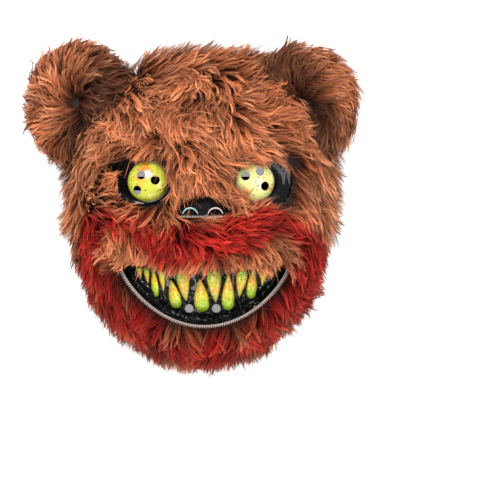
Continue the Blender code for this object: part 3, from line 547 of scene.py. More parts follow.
def tube(path, radius, sides=6, closed=False):
    """Tube along a list of points."""
    bm = bmesh.new()
    rings = []
    count = len(path)
    for index, point in enumerate(path):
        if closed:
            along = path[(index + 1) % count] - path[index - 1]
        else:
            along = path[min(index + 1, count - 1)] - path[max(index - 1, 0)]
        along = along.normalized()
        side = along.cross(Vector((0, 0, 1)))
        side = side.normalized() if side.length > 0.01 else Vector((1, 0, 0))
        up = side.cross(along)
        size = radius(index / (count - 1)) if callable(radius) else radius
        ring = []
        for step in range(sides):
            turn = 2 * math.pi * step / sides
            offset = side * (size * math.cos(turn)) + up * (size * math.sin(turn))
            ring.append(bm.verts.new(point + offset))
        rings.append(ring)
    pairs = list(zip(rings, rings[1:]))
    if closed:
        pairs.append((rings[-1], rings[0]))
    for first, second in pairs:
        for step in range(sides):
            following = (step + 1) % sides
            bm.faces.new((first[step], first[following], second[following], second[step]))
    if not closed:
        bm.faces.new(rings[0][::-1])
        bm.faces.new(rings[-1])
    bmesh.ops.recalc_face_normals(bm, faces=bm.faces)
    return bm


def merge(target, addition):
    """Add one mesh to another."""
    mesh = bpy.data.meshes.new("part")
    addition.to_mesh(mesh)
    addition.free()
    target.from_mesh(mesh)
    bpy.data.meshes.remove(mesh)


def cut_holes(obj, cutters):
    """Cut closed meshes out of a piece."""
    for bm in cutters:
        mesh = bpy.data.meshes.new("cutter")
        bm.to_mesh(mesh)
        bm.free()
        cutter = bpy.data.objects.new("cutter", mesh)
        bpy.context.scene.collection.objects.link(cutter)
        modifier = obj.modifiers.new("cut", "BOOLEAN")
        modifier.operation = "DIFFERENCE"
        modifier.object = cutter
        depsgraph = bpy.context.evaluated_depsgraph_get()
        result = bpy.data.meshes.new_from_object(obj.evaluated_get(depsgraph))
        obj.modifiers.remove(modifier)
        old = obj.data
        obj.data = result
        bpy.data.meshes.remove(old)
        bpy.data.objects.remove(cutter)
    obj.data.shade_smooth()
    obj.data.set_sharp_from_angle(angle=math.radians(45))


def round_cutter(place, radius, low, high, sides=24):
    """Closed cylinder along the local Z of a place, in the model's frame."""
    bm = bmesh.new()
    bmesh.ops.create_cone(bm, cap_ends=True, segments=sides, radius1=radius, radius2=radius,
                          depth=high - low)
    bmesh.ops.translate(bm, verts=bm.verts, vec=(0, 0, (high + low) / 2))
    bmesh.ops.transform(bm, matrix=Matrix.Translation(Vector(FACE)) @ place, verts=bm.verts)
    return bm


# Growing the pile

def triangle_sample(points, faces, count, source):
    """Random points on triangles, even over their area."""
    a, b, c = points[faces[:, 0]], points[faces[:, 1]], points[faces[:, 2]]
    area = np.linalg.norm(np.cross(b - a, c - a), axis=1)
    chosen = source.choice(len(faces), size=count, p=area / area.sum())
    u = source.random((count, 1))
    v = source.random((count, 1))
    flip = u + v > 1
    u = np.where(flip, 1 - u, u)
    v = np.where(flip, 1 - v, v)
    return a[chosen] + u * (b[chosen] - a[chosen]) + v * (c[chosen] - a[chosen])


def grow(roots, shape, normal_at, low):
    """Strand paths (count, SEGMENTS + 1, 3) that rise from the surface and lie down along comb."""
    points = [roots]
    place = roots.copy()
    for step in range(SEGMENTS):
        share = (step + 0.5) / SEGMENTS
        normal = normal_at(place)
        comb = shape["comb"]
        along = unit(comb - normal * np.sum(comb * normal, axis=1, keepdims=True))
        side = np.cross(normal, along)
        turn = 2 * np.pi * shape["turns"] * share + shape["phase"]
        swing = (shape["wave"] * (0.3 + 0.7 * share) * np.sin(turn))[:, None]
        along = along * np.cos(swing) + side * np.sin(swing)
        lift = shape["rise"] * (1 - share) ** 1.4 + shape["stand"] * share
        lift = (lift + shape["curl"] * share * np.cos(turn))[:, None]
        way = along * np.cos(lift) + normal * np.sin(lift)
        place = place + way * (shape["length"] / SEGMENTS)[:, None]
        place[:, 2] = np.maximum(place[:, 2], low)
        points.append(place.copy())
    return np.stack(points, axis=1)


def trim(paths, blocked):
    """End strands where they would enter a blocked place; drop those with hardly a stem left."""
    first = np.where(blocked.any(axis=1), blocked.argmax(axis=1), SEGMENTS + 1)
    end = np.where(first <= SEGMENTS, (first - 0.6) / SEGMENTS, 1.0)
    share = np.linspace(0, 1, SEGMENTS + 1)[None, :] * end[:, None] * SEGMENTS
    index = np.minimum(share.astype(int), SEGMENTS - 1)
    part = (share - index)[..., None]
    rows = np.arange(len(paths))[:, None]
    shorter = paths[rows, index] * (1 - part) + paths[rows, index + 1] * part
    return shorter, end > 0.22


def nearest(points, centres):
    """Index of the nearest centre for each point."""
    result = np.empty(len(points), dtype=int)
    for start in range(0, len(points), 2000):
        block = points[start:start + 2000]
        gap = ((block[:, None, :] - centres[None, :, :]) ** 2).sum(axis=2)
        result[start:start + 2000] = gap.argmin(axis=1)
    return result


def gather(paths, guides, owner, strength, spread):
    """Draw strands to their guides, more towards the tip, where they come together."""
    share = np.linspace(0, 1, SEGMENTS + 1)[None, :, None]
    pull = strength[:, None, None] * np.minimum(1, 1.6 * share) ** 1.2
    target = guides[owner]
    offset = (paths[:, :1] - target[:, :1]) * (1 - (1 - spread) * share)
    return paths + (target + offset - paths) * pull


def ribbon_arrays(paths, width, roll, normal_at):
    """Vertices and face indices of tapered ribbons along strand paths."""
    count = len(paths)
    along = unit(np.diff(paths, axis=1))
    along = np.concatenate((along, along[:, -1:]), axis=1)
    flat = paths.reshape(-1, 3)
    normal = normal_at(flat).reshape(paths.shape)
    side = unit(np.cross(along, normal))
    up = np.cross(side, along)
    turn = roll[:, None, None]
    side = side * np.cos(turn) + up * np.sin(turn)
    taper = np.array((0.8, 1.0, 1.0, 0.95, 0.8, 0.55))[None, :, None]
    half = 0.5 * width[:, None, None] * taper * side[:, :SEGMENTS]
    left = paths[:, :SEGMENTS] - half
    right = paths[:, :SEGMENTS] + half
    pairs = np.stack((left, right), axis=2).reshape(count, 2 * SEGMENTS, 3)
    verts = np.concatenate((pairs, paths[:, -1:]), axis=1).reshape(-1, 3)
    per = 2 * SEGMENTS + 1
    base = (np.arange(count) * per)[:, None]
    loops = []
    sizes = []
    for step in range(SEGMENTS - 1):
        loops.append(base + np.array((2 * step, 2 * step + 1, 2 * step + 3, 2 * step + 2)))
        sizes.append(4)
    loops.append(base + np.array((2 * SEGMENTS - 2, 2 * SEGMENTS - 1, 2 * SEGMENTS)))
    sizes.append(3)
    corners = np.concatenate(loops, axis=1).reshape(-1)
    totals = np.tile(np.array(sizes), count)
    return verts, corners, totals


def pile_colours(paths, dye, light, tan):
    """Colour of every ribbon vertex, from root to tip; the dark roots are painted shade deep in the pile.
    """
    share = np.linspace(0, 1, SEGMENTS + 1)[None, :, None]
    dye = dye[:, None, None]
    tan = tan[:, None, None]

    def blend(root, middle, tip):
        root, middle, tip = (np.array(colour)[None, None, :] for colour in (root, middle, tip))
        low = root + (middle - root) * smooth(0.0, 0.55, share)
        return low + (tip - middle) * smooth(0.45, 1.0, share)

    brown = blend(BROWN_ROOT, BROWN_MID, BROWN_TIP) * (1 - tan)
    brown = brown + blend(BROWN_ROOT, BROWN_MID, TAN_TIP) * tan
    red = blend(RED_ROOT, RED_MID, RED_TIP)
    colour = brown + (red - brown) * dye
    colour = colour * light[:, None, None]
    pairs = np.repeat(colour[:, :SEGMENTS], 2, axis=1)
    every = np.concatenate((pairs, colour[:, -1:]), axis=1).reshape(-1, 3)
    return np.clip(np.concatenate((every, np.ones((len(every), 1))), axis=1), 0, 1)


def build_mesh(name, verts, corners, totals, colours):
    mesh = bpy.data.meshes.new(name)
    mesh.vertices.add(len(verts))
    mesh.vertices.foreach_set("co", (verts + FACE).astype(np.float32).reshape(-1))
    mesh.loops.add(len(corners))
    mesh.loops.foreach_set("vertex_index", corners.astype(np.int32))
    mesh.polygons.add(len(totals))
    starts = np.concatenate(((0,), np.cumsum(totals)[:-1]))
    mesh.polygons.foreach_set("loop_start", starts.astype(np.int32))
    tint = mesh.color_attributes.new("tint", "FLOAT_COLOR", "POINT")
    tint.data.foreach_set("color", colours.astype(np.float32).reshape(-1))
    mesh.update(calc_edges=True)
    return mesh


def grow_pile(name, roots, place, seed, material, length=PILE_LENGTH, area=0.02):
    """Plush piece: strands gathered in wisps, wisps in locks, each wisp with its own wave.

    place holds the functions that say how the pile lies there: comb, normal, dye, tan, shade,
    wave, stand and blocked.
    """
    source = np.random.default_rng(seed)
    count = len(roots)

    def centres(spacing):
        number = min(count, max(12, int(area / spacing ** 2)))
        return roots[source.choice(count, size=number, replace=False)]

    locks = centres(LOCK_SPACING)
    wisps = centres(WISP_SPACING)
    lock_of_wisp = nearest(wisps, locks)
    wisp_of = nearest(roots, wisps)

    lock = {
        "spin": 0.30 * source.normal(size=len(locks)),
        "length": source.uniform(0.85, 1.12, len(locks)),
        "light": np.clip(source.normal(1.0, 0.16, len(locks)), 0.6, 1.4),
        "tone": source.normal(size=len(locks)),
    }
    number = len(wisps)
    wave = place["wave"](wisps)
    wisp = {
        "spin": lock["spin"][lock_of_wisp] + 0.26 * source.normal(size=number),
        "length": length * lock["length"][lock_of_wisp] * source.uniform(0.78, 1.15, number),
        "rise": source.uniform(0.65, 1.25, number),
        "stand": place["stand"](wisps) + 0.16 * source.normal(size=number),
        "wave": wave * source.uniform(0.35, 1.25, number),
        "curl": wave * source.uniform(0.0, 0.7, number),
        "phase": source.uniform(0, 2 * np.pi, number),
        "turns": source.uniform(0.55, 1.35, number),
        "light": np.clip(source.normal(1.0, 0.30, number), 0.35, 1.75),
    }

    def grown(points, values, jitter):
        """Paths from points, each shaped by the values of its wisp or lock."""
        size = len(points)
        comb = place["comb"](points)
        normal = place["normal"](points)
        spin = values["spin"] + 0.12 * jitter * source.normal(size=size)
        side = np.cross(normal, comb)
        comb = comb * np.cos(spin)[:, None] + side * np.sin(spin)[:, None]
        shape = {
            "comb": comb,
            "length": values["length"] * (1 + 0.07 * jitter * source.normal(size=size)),
            "rise": values["rise"] + 0.10 * jitter * source.normal(size=size),
            "stand": values["stand"] + 0.06 * jitter * source.normal(size=size),
            "wave": values["wave"],
            "curl": values["curl"],
            "phase": values["phase"] + 0.25 * jitter * source.normal(size=size),
            "turns": values["turns"],
        }
        return grow(points, shape, place["normal"], HEM)

    calm = {
        "spin": lock["spin"], "length": length * lock["length"], "rise": np.full(len(locks), 0.9),
        "stand": place["stand"](locks), "wave": 0.5 * place["wave"](locks),
        "curl": np.zeros(len(locks)), "phase": source.uniform(0, 2 * np.pi, len(locks)),
        "turns": source.uniform(0.4, 0.8, len(locks)),
    }
    lock_paths = grown(locks, calm, 0)
    wisp_paths = grown(wisps, wisp, 0)
    wisp_paths = gather(wisp_paths, lock_paths, lock_of_wisp, source.uniform(0.15, 0.6, number), 0.5)
    own = {key: values[wisp_of] for key, values in wisp.items()}
    paths = grown(roots, own, 1)
    pull = source.uniform(0.80, 0.98, count)
    pull = np.where(source.random(count) < 0.07, source.uniform(0.0, 0.4, count), pull)
    paths = gather(paths, wisp_paths, wisp_of, pull, 0.12)
    paths[:, :, 2] = np.maximum(paths[:, :, 2], HEM)
    paths, shown = trim(paths, place["blocked"](paths))
    # Strands far from their wisp's middle are darker: painted shade in the gaps between wisps.
    aside = np.linalg.norm(roots - wisps[wisp_of], axis=1) / WISP_SPACING
    light = lock["light"][lock_of_wisp[wisp_of]] * wisp["light"][wisp_of]
    light = light * (1.18 - 0.35 * np.clip(aside, 0, 1)) * source.normal(1, 0.10, count)
    tone = lock["tone"][lock_of_wisp[wisp_of]]
    paths, light, tone = paths[shown], light[shown], tone[shown]
    count = len(paths)
    middle = paths[:, SEGMENTS // 2]
    # The place's shade function adds painted shade.
    light = np.clip(light, 0.2, 2.0) * place["shade"](middle)
    dye = np.clip(place["dye"](middle) + 0.10 * source.normal(size=count), 0, 1)
    tan = np.clip(place["tan"](middle) + 0.25 * tone + 0.12 * source.normal(size=count), 0, 1)
    width = STRAND_WIDTH * source.uniform(0.75, 1.25, count)
    verts, corners, totals = ribbon_arrays(paths, width, source.normal(0, 0.5, count),
                                           place["normal"])
    mesh = build_mesh(name, verts, corners, totals, pile_colours(paths, dye, light, tan))
    print(name, "strands", count, "triangles", (2 * SEGMENTS - 1) * count)
    return finish_piece(name, mesh, material, 180)


# The head's plush

def face_comb(points):
    """Way that the head's pile is combed: from the comb table, with slow swirls."""
    x, y, z = points.T
    vx = np.zeros(len(points))
    vy = np.zeros(len(points))
    for row in COMB:
        gap = (x - row["x"] * MM) ** 2 + (y - row["y"] * MM) ** 2
        weight = 1 / (gap + 0.006 ** 2) ** 1.8
        vx += weight * math.cos(math.radians(row["way"]))
        vy += weight * math.sin(math.radians(row["way"]))
    comb = unit(np.stack((vx, vy, np.zeros(len(points))), axis=-1))
    swirl = 0.38 * field(61, points, 0.050) * np.where(y > seam_height(x), 1.0, 0.5)
    turned = np.stack((comb[:, 0] * np.cos(swirl) - comb[:, 1] * np.sin(swirl),
                       comb[:, 0] * np.sin(swirl) + comb[:, 1] * np.cos(swirl),
                       np.zeros(len(points))), axis=-1)
    normal = dome_normal(points)
    turned[:, 2] -= 0.35 * np.clip(1 - normal[:, 2] * 2.0, 0, 1)
    return unit(turned)


def face_dye(points):
    """How red the head's pile is."""
    wobble = 0.0030 * field(31, points, 0.035) + 0.0018 * field(32, points, 0.012)
    flat = points[:, :2]
    red = np.zeros(len(points))
    for stroke in DYE:
        for first, second in zip(stroke, stroke[1:]):
            start = np.array((first["x"], first["y"])) * MM
            along = np.array((second["x"], second["y"])) * MM - start
            share = np.clip(((flat - start) @ along) / (along @ along), 0, 1)
            half = (first["half"] + (second["half"] - first["half"]) * share) * MM
            gap = np.linalg.norm(flat - start - share[:, None] * along, axis=1)
            red = np.maximum(red, smooth(0.0045, -0.0045, gap - half + wobble))
    return red


def face_tan(points):
    """How sandy the brown is: more at the head's corners and sides."""
    x = points[:, 0]
    side = smooth(0.070, 0.100, np.abs(x))
    return np.clip(0.12 + 0.60 * side + 0.15 * field(41, points, 0.05), 0, 1)


def face_shade(points):
    """How light the head's pile is: painted shade low on the sides, near the floor, and slow random changes
    of tone.
    """
    x, y, z = points.T
    # Painted shade: the pile is darker where it lies low, near the floor.
    low = 0.62 + 0.38 * smooth(0.010, 0.035, z)
    slow = 1 + 0.13 * field(42, points, 0.035)
    return low * slow


def face_wave(points):
    """How wavy the head's pile is: less on the muzzle and the jaw."""
    x, y, z = points.T
    brow = np.where(y > seam_height(x), 1.0, 0.62)
    return brow * (0.85 + 0.2 * field(43, points, 0.04))


def face_stand(points):
    """How far the tips stand off: most at the rim."""
    normal = dome_normal(points)
    return 0.02 + 0.55 * smooth(0.75, 0.15, normal[:, 2])


# Places that the pile leaves open round each eye, in millimetres: middle and half sizes
EYE_CLEAR = (
    {"x": -45.0, "y": 23.8, "across": 16.0, "up": 16.0}, {"x": -60.0, "y": 22.0, "across": 9.5, "up": 14.0},
    {"x": -66.0, "y": 37.5, "across": 11.0, "up": 5.5}, {"x": -31.5, "y": 36.0, "across": 3.5, "up": 6.5},
    {"x": 45.0, "y": 22.5, "across": 16.0, "up": 16.0}, {"x": 60.0, "y": 24.0, "across": 12.0, "up": 14.0},
    {"x": 33.0, "y": 37.5, "across": 5.0, "up": 4.0}, {"x": 78.0, "y": 40.0, "across": 7.0, "up": 6.5},
    {"x": 68.0, "y": 7.5, "across": 8.0, "up": 4.0},
)

# Where hair may cross an eye after all
EYE_CROSSED = (
    {"x": -35.0, "y": 10.5, "across": 11.0, "up": 9.0}, {"x": 33.0, "y": 10.0, "across": 8.0, "up": 11.0},
    {"x": 43.0, "y": 36.5, "across": 17.0, "up": 3.5}, {"x": 50.0, "y": 6.0, "across": 10.0, "up": 3.5},
)


def in_ovals(rows, x, y, grow):
    """Whether points lie in any of a table's ovals."""
    result = np.zeros(x.shape, dtype=bool)
    for row in rows:
        across = (x - row["x"] * MM) / (row["across"] * MM + grow)
        up = (y - row["y"] * MM) / (row["up"] * MM + grow)
        result |= across ** 2 + up ** 2 < 1
    return result


def face_blocked(panel):
    """Places that strands of a panel don't enter: eyes, nose and mouth."""

    def blocked(paths):
        source = np.random.default_rng(77)
        loose = 0.0011 * source.normal(size=len(paths))[:, None]
        x, y = paths[..., 0], paths[..., 1]
        shut = in_ovals(EYE_CLEAR, x, y, 0.0005 + loose) & ~in_ovals(EYE_CROSSED, x, y, 0)
        shut |= in_nose(x, y, loose)
        upper, lower, within = mouth_edges(x, 0.0005)
        if panel == "muzzle":
            ragged = source.uniform(0.45, 1.1, len(paths))[:, None]
            shut |= within & (y < upper - fringe_reach(x) * ragged)
        else:
            shut |= within & (y < upper - 0.003) & (y > lower + loose)
        free = source.random(len(paths)) < 0.02
        return shut & ~free[:, None]

    return blocked


# How far the muzzle's fringe hangs over the teeth, at places across the mouth
FRINGE = (
    {"x": -0.066, "reach": 0.004}, {"x": -0.052, "reach": 0.003}, {"x": -0.043, "reach": 0.004},
    {"x": -0.034, "reach": 0.011}, {"x": -0.026, "reach": 0.012}, {"x": -0.020, "reach": 0.009},
    {"x": -0.012, "reach": 0.018}, {"x": -0.004, "reach": 0.012}, {"x": 0.004, "reach": 0.009},
    {"x": 0.012, "reach": 0.007}, {"x": 0.022, "reach": 0.010}, {"x": 0.030, "reach": 0.008},
    {"x": 0.040, "reach": 0.005}, {"x": 0.047, "reach": 0.009}, {"x": 0.055, "reach": 0.017},
    {"x": 0.062, "reach": 0.014}, {"x": 0.069, "reach": 0.003},
)


def fringe_reach(x):
    return np.interp(x, [row["x"] for row in FRINGE], [row["reach"] for row in FRINGE])


def grid_faces(rows, columns):
    """Triangles of a grid that closes round."""
    index = np.arange((rows - 1) * columns)
    following = np.where((index + 1) % columns == 0, index + 1 - columns, index + 1)
    first = np.stack((index, index + columns, following), axis=-1)
    second = np.stack((following, index + columns, following + columns), axis=-1)
    return np.concatenate((first, second))


def panel_roots(panel, count, seed):
    """Roots of a panel's strands on the backing, and the panel's area."""
    source = np.random.default_rng(seed)
    rings, sides = 70, 200
    points = dome_grid(BACKING, rings, sides, HEM + 0.001).reshape(-1, 3)
    faces = grid_faces(rings, sides)
    centre = points[faces].mean(axis=1)
    x, y = centre[:, 0], centre[:, 1]
    brow = y > seam_height(x)
    upper, lower, within = mouth_edges(x, 0.003)
    jaw = np.where(within, y < lower, y < jaw_seam_height(x))
    wanted = {
        "brow_left": brow & (x <= 0), "brow_right": brow & (x > 0),
        "muzzle": ~brow & ~jaw, "jaw": jaw,
    }[panel]
    wanted &= ~in_mouth(x, y, 0.0022) & ~in_eye_window(x, y, 0.0005) & ~in_nose(x, y, 0.0010)
    a, b, c = (points[faces[wanted][:, corner]] for corner in range(3))
    area = np.linalg.norm(np.cross(b - a, c - a), axis=1).sum() / 2
    return triangle_sample(points, faces[wanted], count, source), area


def build_head_plush(pile):
    specs = (
        {"panel": "brow_left", "node": "fur_brow", "count": 13000, "seed": 101},
        {"panel": "brow_right", "node": "fur_brow", "count": 13000, "seed": 151},
        {"panel": "muzzle", "node": "fur_muzzle", "count": 14500, "seed": 202},
        {"panel": "jaw", "node": "fur_jaw", "count": 16500, "seed": 303},
    )
    for spec in specs:
        panel = spec["panel"]
        roots, area = panel_roots(panel, spec["count"], spec["seed"])
        place = {
            "comb": face_comb, "normal": dome_normal, "dye": face_dye, "tan": face_tan,
            "shade": face_shade, "wave": face_wave, "stand": face_stand,
            "blocked": face_blocked(panel),
        }
        length = {"muzzle": 0.026, "jaw": 0.030}.get(panel, PILE_LENGTH)
        obj = grow_pile(panel + "_pile", roots, place, spec["seed"], pile, length, area)
        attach(obj, "root")
        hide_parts(spec["node"])


def build_backing(material):
    """Backing under the head's pile, with its openings."""
    rings, sides = 64, 180
    grid = dome_grid(BACKING, rings, sides, HEM)
    bm = grid_mesh(grid, True, grid[0].mean(axis=0))
    unwanted = []
    for face in bm.faces:
        centre = face.calc_center_median()
        x, y = np.array(centre.x), np.array(centre.y)
        opening = in_mouth(x, y, 0.0045) or in_eye_window(x, y, 0.0005) or in_nose(x, y, 0.001)
        if opening:
            unwanted.append(face)
    bmesh.ops.delete(bm, geom=unwanted, context="FACES")
    points = np.array([vert.co for vert in bm.verts])
    # The backing takes the dark root colours, red under the dye: painted shade under the pile.
    dye = face_dye(points)[:, None]
    colours = np.array(BROWN_ROOT) * (1 - dye) + np.array(RED_ROOT) * dye
    obj = add_piece("plush_backing", bm, material, 180)
    tint = obj.data.color_attributes.new("tint", "FLOAT_COLOR", "POINT")
    colours = np.concatenate((colours, np.ones((len(colours), 1))), axis=1)
    tint.data.foreach_set("color", colours.astype(np.float32).reshape(-1))
    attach(obj, "root")


# Ears

def ear_frame(side):
    """Centre and axes (rows) of an ear."""
    centre = np.array((EAR_RIGHT_X if side > 0 else EAR_LEFT_X, EAR_Y, EAR_Z))
    turn = side * EAR_TILT
    across = np.array((math.cos(turn), 0, -math.sin(turn)))
    up = np.array((0.0, 1.0, 0.0))
    out = np.array((math.sin(turn), 0, math.cos(turn)))
    return centre, np.stack((across, up, out))


# How far the ears' pile turns from pointing straight out, at angles round each ear, in degrees
EAR_SWIRL = {
    -1: ({"round": -180, "turn": 15}, {"round": -90, "turn": 5}, {"round": 0, "turn": -20},
         {"round": 60, "turn": -42}, {"round": 90, "turn": -45}, {"round": 130, "turn": -12},
         {"round": 180, "turn": 15}),
    1: ({"round": -180, "turn": -30}, {"round": -60, "turn": -25}, {"round": 0, "turn": -42},
        {"round": 45, "turn": -40}, {"round": 90, "turn": -58}, {"round": 130, "turn": -60},
        {"round": 180, "turn": -30}),
}
EAR_CORE = 0.78
EAR_CORE_THICKNESS = 0.62
EAR_ROUNDNESS = 2.6
EAR_FRONT_STRANDS = 8900
EAR_BACK_STRANDS = 1900


def ear_grid(side, rows=34, columns=72):
    """Cushion that the ear's pile grows on."""
    centre, axes = ear_frame(side)
    slope = np.linspace(0.03, math.pi - 0.03, rows)[:, None, None]
    turn = np.linspace(0, 2 * np.pi, columns, endpoint=False)[None, :, None]
    radius = EAR_CORE * np.sin(slope) ** (2 / EAR_ROUNDNESS)
    height = np.sign(np.cos(slope)) * np.abs(np.cos(slope)) ** (2 / EAR_ROUNDNESS)
    local = np.concatenate((
        radius * EAR_HALF_WIDTH * np.cos(turn), radius * EAR_HALF_HEIGHT * np.sin(turn),
        EAR_CORE_THICKNESS * EAR_THICKNESS / 2 * height + 0 * turn), axis=2)
    return centre + local @ axes


def build_ear(side, name, node, pile, backing, seed):
    """Padded ear core and the pile round it."""
    centre, axes = ear_frame(side)
    grid = ear_grid(side)
    rows, columns = grid.shape[:2]

    def normal_at(points):
        local = (points - centre) @ axes.T
        local = local / (EAR_HALF_WIDTH ** 2, EAR_HALF_HEIGHT ** 2, (0.70 * EAR_THICKNESS) ** 2)
        return unit(unit(local) @ axes)

    def comb_at(points):
        local = (points - centre) @ axes.T
        angle = np.arctan2(local[:, 1], local[:, 0])
        table = EAR_SWIRL[side]
        turn = np.interp(np.degrees(angle), [row["round"] for row in table],
                         [row["turn"] for row in table])
        angle = angle + np.radians(turn) + 0.45 * field(seed + 9, points, 0.045)
        flat = np.stack((np.cos(angle), np.sin(angle), np.zeros(len(points))), axis=-1)
        return unit(flat @ axes)

    def shade(points):
        """Painted shade in the crevice where the ear meets the head, with slow random changes of tone."""
        x, y, z = points.T
        head = np.stack((x, y, np.full(len(points), 0.02)), axis=-1)
        power = np.where(y > 0, BROW_SQUARENESS, CHIN_SQUARENESS)
        reach = (np.abs(x / (SHELL_HALF_WIDTH + 0.012)) ** power
                 + np.abs(y / (SHELL_HALF_HEIGHT + 0.012)) ** power) ** (1 / power)
        # Painted shade, darkest near the head's outline.
        return (0.22 + 0.78 * smooth(1.00, 1.20, reach)) * (0.90 + 0.12 * field(seed + 6, head, 0.03))

    def blocked(paths):
        x, y, z = paths[..., 0], paths[..., 1], paths[..., 2]
        sunk = z < dome_height(x, y, 0.002)
        return sunk & (np.arange(SEGMENTS + 1)[None, :] > 0)

    points = grid.reshape(-1, 3)
    faces = grid_faces(rows, columns)
    middle = points[faces].mean(axis=1)
    free = middle[:, 2] > dome_height(middle[:, 0], middle[:, 1], 0.004)
    front = normal_at(middle) @ axes[2] > -0.15
    source = np.random.default_rng(seed)
    roots = np.concatenate((
        triangle_sample(points, faces[free & front], EAR_FRONT_STRANDS, source),
        triangle_sample(points, faces[free & ~front], EAR_BACK_STRANDS, source)))
    place = {
        "comb": comb_at, "normal": normal_at, "dye": lambda p: np.zeros(len(p)),
        "tan": lambda p: 0.35 + 0.25 * field(seed + 5, p, 0.05), "shade": shade,
        "wave": lambda p: np.full(len(p), 0.85),
        "stand": lambda p: np.full(len(p), 0.10), "blocked": blocked,
    }
    obj = grow_pile(name + "_pile", roots, place, seed, pile, 0.029, 0.012)
    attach(obj, "root")
    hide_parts(node)
    core = add_piece(name + "_core", grid_mesh(grid, True, grid[0].mean(axis=0)), backing, 180)
    # The ear's core takes the dark root colour: painted shade under the pile and in the crevice by the
    # head.
    colours = np.tile(np.array((*BROWN_ROOT, 1.0)), (len(core.data.vertices), 1))
    tint = core.data.color_attributes.new("tint", "FLOAT_COLOR", "POINT")
    tint.data.foreach_set("color", colours.astype(np.float32).reshape(-1))
    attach(core, "root")


# Hard pieces

def eye_place(side):
    height = float(dome_height(side * EYE_X, EYE_Y, 0))
    return Matrix.Translation((side * EYE_X, EYE_Y, height)) @ Matrix.Rotation(
        side * EYE_TILT, 4, "Y")


def build_shell(material):
    """Moulded shell with a sunk socket round each eye."""
    rings, sides = 50, 140
    surfaces = []
    for outset in (0, -SHELL_WALL):
        grid = dome_grid(outset, rings, sides)
        x, y = grid[..., 0], grid[..., 1]
        sink = np.zeros_like(x)
        for side in (-1, 1):
            away = np.hypot((x - side * (EYE_X + 0.003)) / 1.25, y - EYE_Y)
            sink += 0.0035 * smooth(0.0225, 0.0195, away) * smooth(0.016, 0.018, away + 0.004)
        inward = -dome_normal(grid.reshape(-1, 3)).reshape(grid.shape)
        surfaces.append(grid + inward * sink[..., None])
    bm = grid_mesh(surfaces[0], True, surfaces[0][0].mean(axis=0))
    merge(bm, grid_mesh(surfaces[1], True, surfaces[1][0].mean(axis=0)))
    bm.verts.ensure_lookup_table()
    per = rings * sides + 1
    first = (rings - 1) * sides
    for side in range(sides):
        following = (side + 1) % sides
        bm.faces.new((bm.verts[first + side], bm.verts[first + following],
                      bm.verts[per + first + following], bm.verts[per + first + side]))
    bmesh.ops.recalc_face_normals(bm, faces=bm.faces)
    obj = add_piece("shell", bm, material, 45)
    cutters = [round_cutter(eye_place(side), EYE_RADIUS + 0.0003, -0.02, 0.02, 64)
               for side in (-1, 1)]
    cutters.append(mouth_cutter(0.0023))
    cut_holes(obj, cutters)
    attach(obj, "root")
    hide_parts("face_shell")


def mouth_outline(grow, steps=60):
    """Points round the mouth, from its left corner along the top and back along the bottom."""
    share = -np.cos(np.linspace(0, np.pi, steps + 1))
    x = MOUTH_X + (MOUTH_HALF_WIDTH + 1.4 * grow) * share
    upper, lower, _ = mouth_edges(x, grow)
    return np.concatenate((np.stack((x, upper), -1), np.stack((x, lower), -1)[::-1]))


def mouth_cutter(grow):
    bm = bmesh.new()
    outline = mouth_outline(grow)
    low = [bm.verts.new((x, y, 0.008)) for x, y in outline]
    high = [bm.verts.new((x, y, 0.2)) for x, y in outline]
    bm.faces.new(low)
    bm.faces.new(high)
    for index in range(len(outline)):
        following = (index + 1) % len(outline)
        bm.faces.new((low[index], low[following], high[following], high[index]))
    bmesh.ops.recalc_face_normals(bm, faces=bm.faces)
    bmesh.ops.translate(bm, verts=bm.verts, vec=Vector(FACE))
    return bm


def build_eye(name, side, holes, stain_at, material):
    """Domed eye with its sight holes."""
    rings, sides = 22, 72
    profile = [(EYE_RADIUS, -EYE_SKIRT), (EYE_RADIUS, -EYE_SKIRT / 2)]
    turns = np.linspace(0, np.pi / 2, rings)
    profile += [(EYE_RADIUS * math.cos(t), EYE_RISE * math.sin(t)) for t in turns[:-1]]
    inner = EYE_RADIUS - EYE_WALL
    under = [((inner) * math.cos(t), (EYE_RISE - EYE_WALL) * math.sin(t)) for t in turns[:-1]]
    under = [(inner, -EYE_SKIRT)] + under
    bm = bmesh.new()
    loops = []
    for radius, height in [(EYE_RADIUS * 0.0001, EYE_RISE)] + profile[::-1] + under + [
            (EYE_RADIUS * 0.0001, EYE_RISE - EYE_WALL)]:
        loops.append([bm.verts.new((radius * math.cos(a), radius * math.sin(a), height))
                      for a in np.linspace(0, 2 * np.pi, sides, endpoint=False)])
    for first, second in zip(loops, loops[1:]):
        for step in range(sides):
            following = (step + 1) % sides
            bm.faces.new((first[step], first[following], second[following], second[step]))
    bmesh.ops.remove_doubles(bm, verts=bm.verts, dist=0.00001)
    bmesh.ops.recalc_face_normals(bm, faces=bm.faces)
    place = eye_place(side)
    bmesh.ops.transform(bm, matrix=place, verts=bm.verts)
    obj = add_piece(name + "_dome", bm, material, 40)
    cutters = []
    for across, up in holes:
        spot = place @ Matrix.Translation((across * EYE_RADIUS, up * EYE_RADIUS, 0))
        cutters.append(round_cutter(spot, SIGHT_HOLE_RADIUS, -0.01, 0.02, 28))
    cut_holes(obj, cutters)
    back = (Matrix.Translation(Vector(FACE)) @ place).inverted()
    local = np.array([back @ vert.co for vert in obj.data.vertices]) / EYE_RADIUS
    stain = obj.data.attributes.new("stain", "FLOAT", "POINT")
    stain.data.foreach_set("value", stain_at(local[:, 0], local[:, 1]).astype(np.float32))
    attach(obj, "root")
    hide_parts(name)


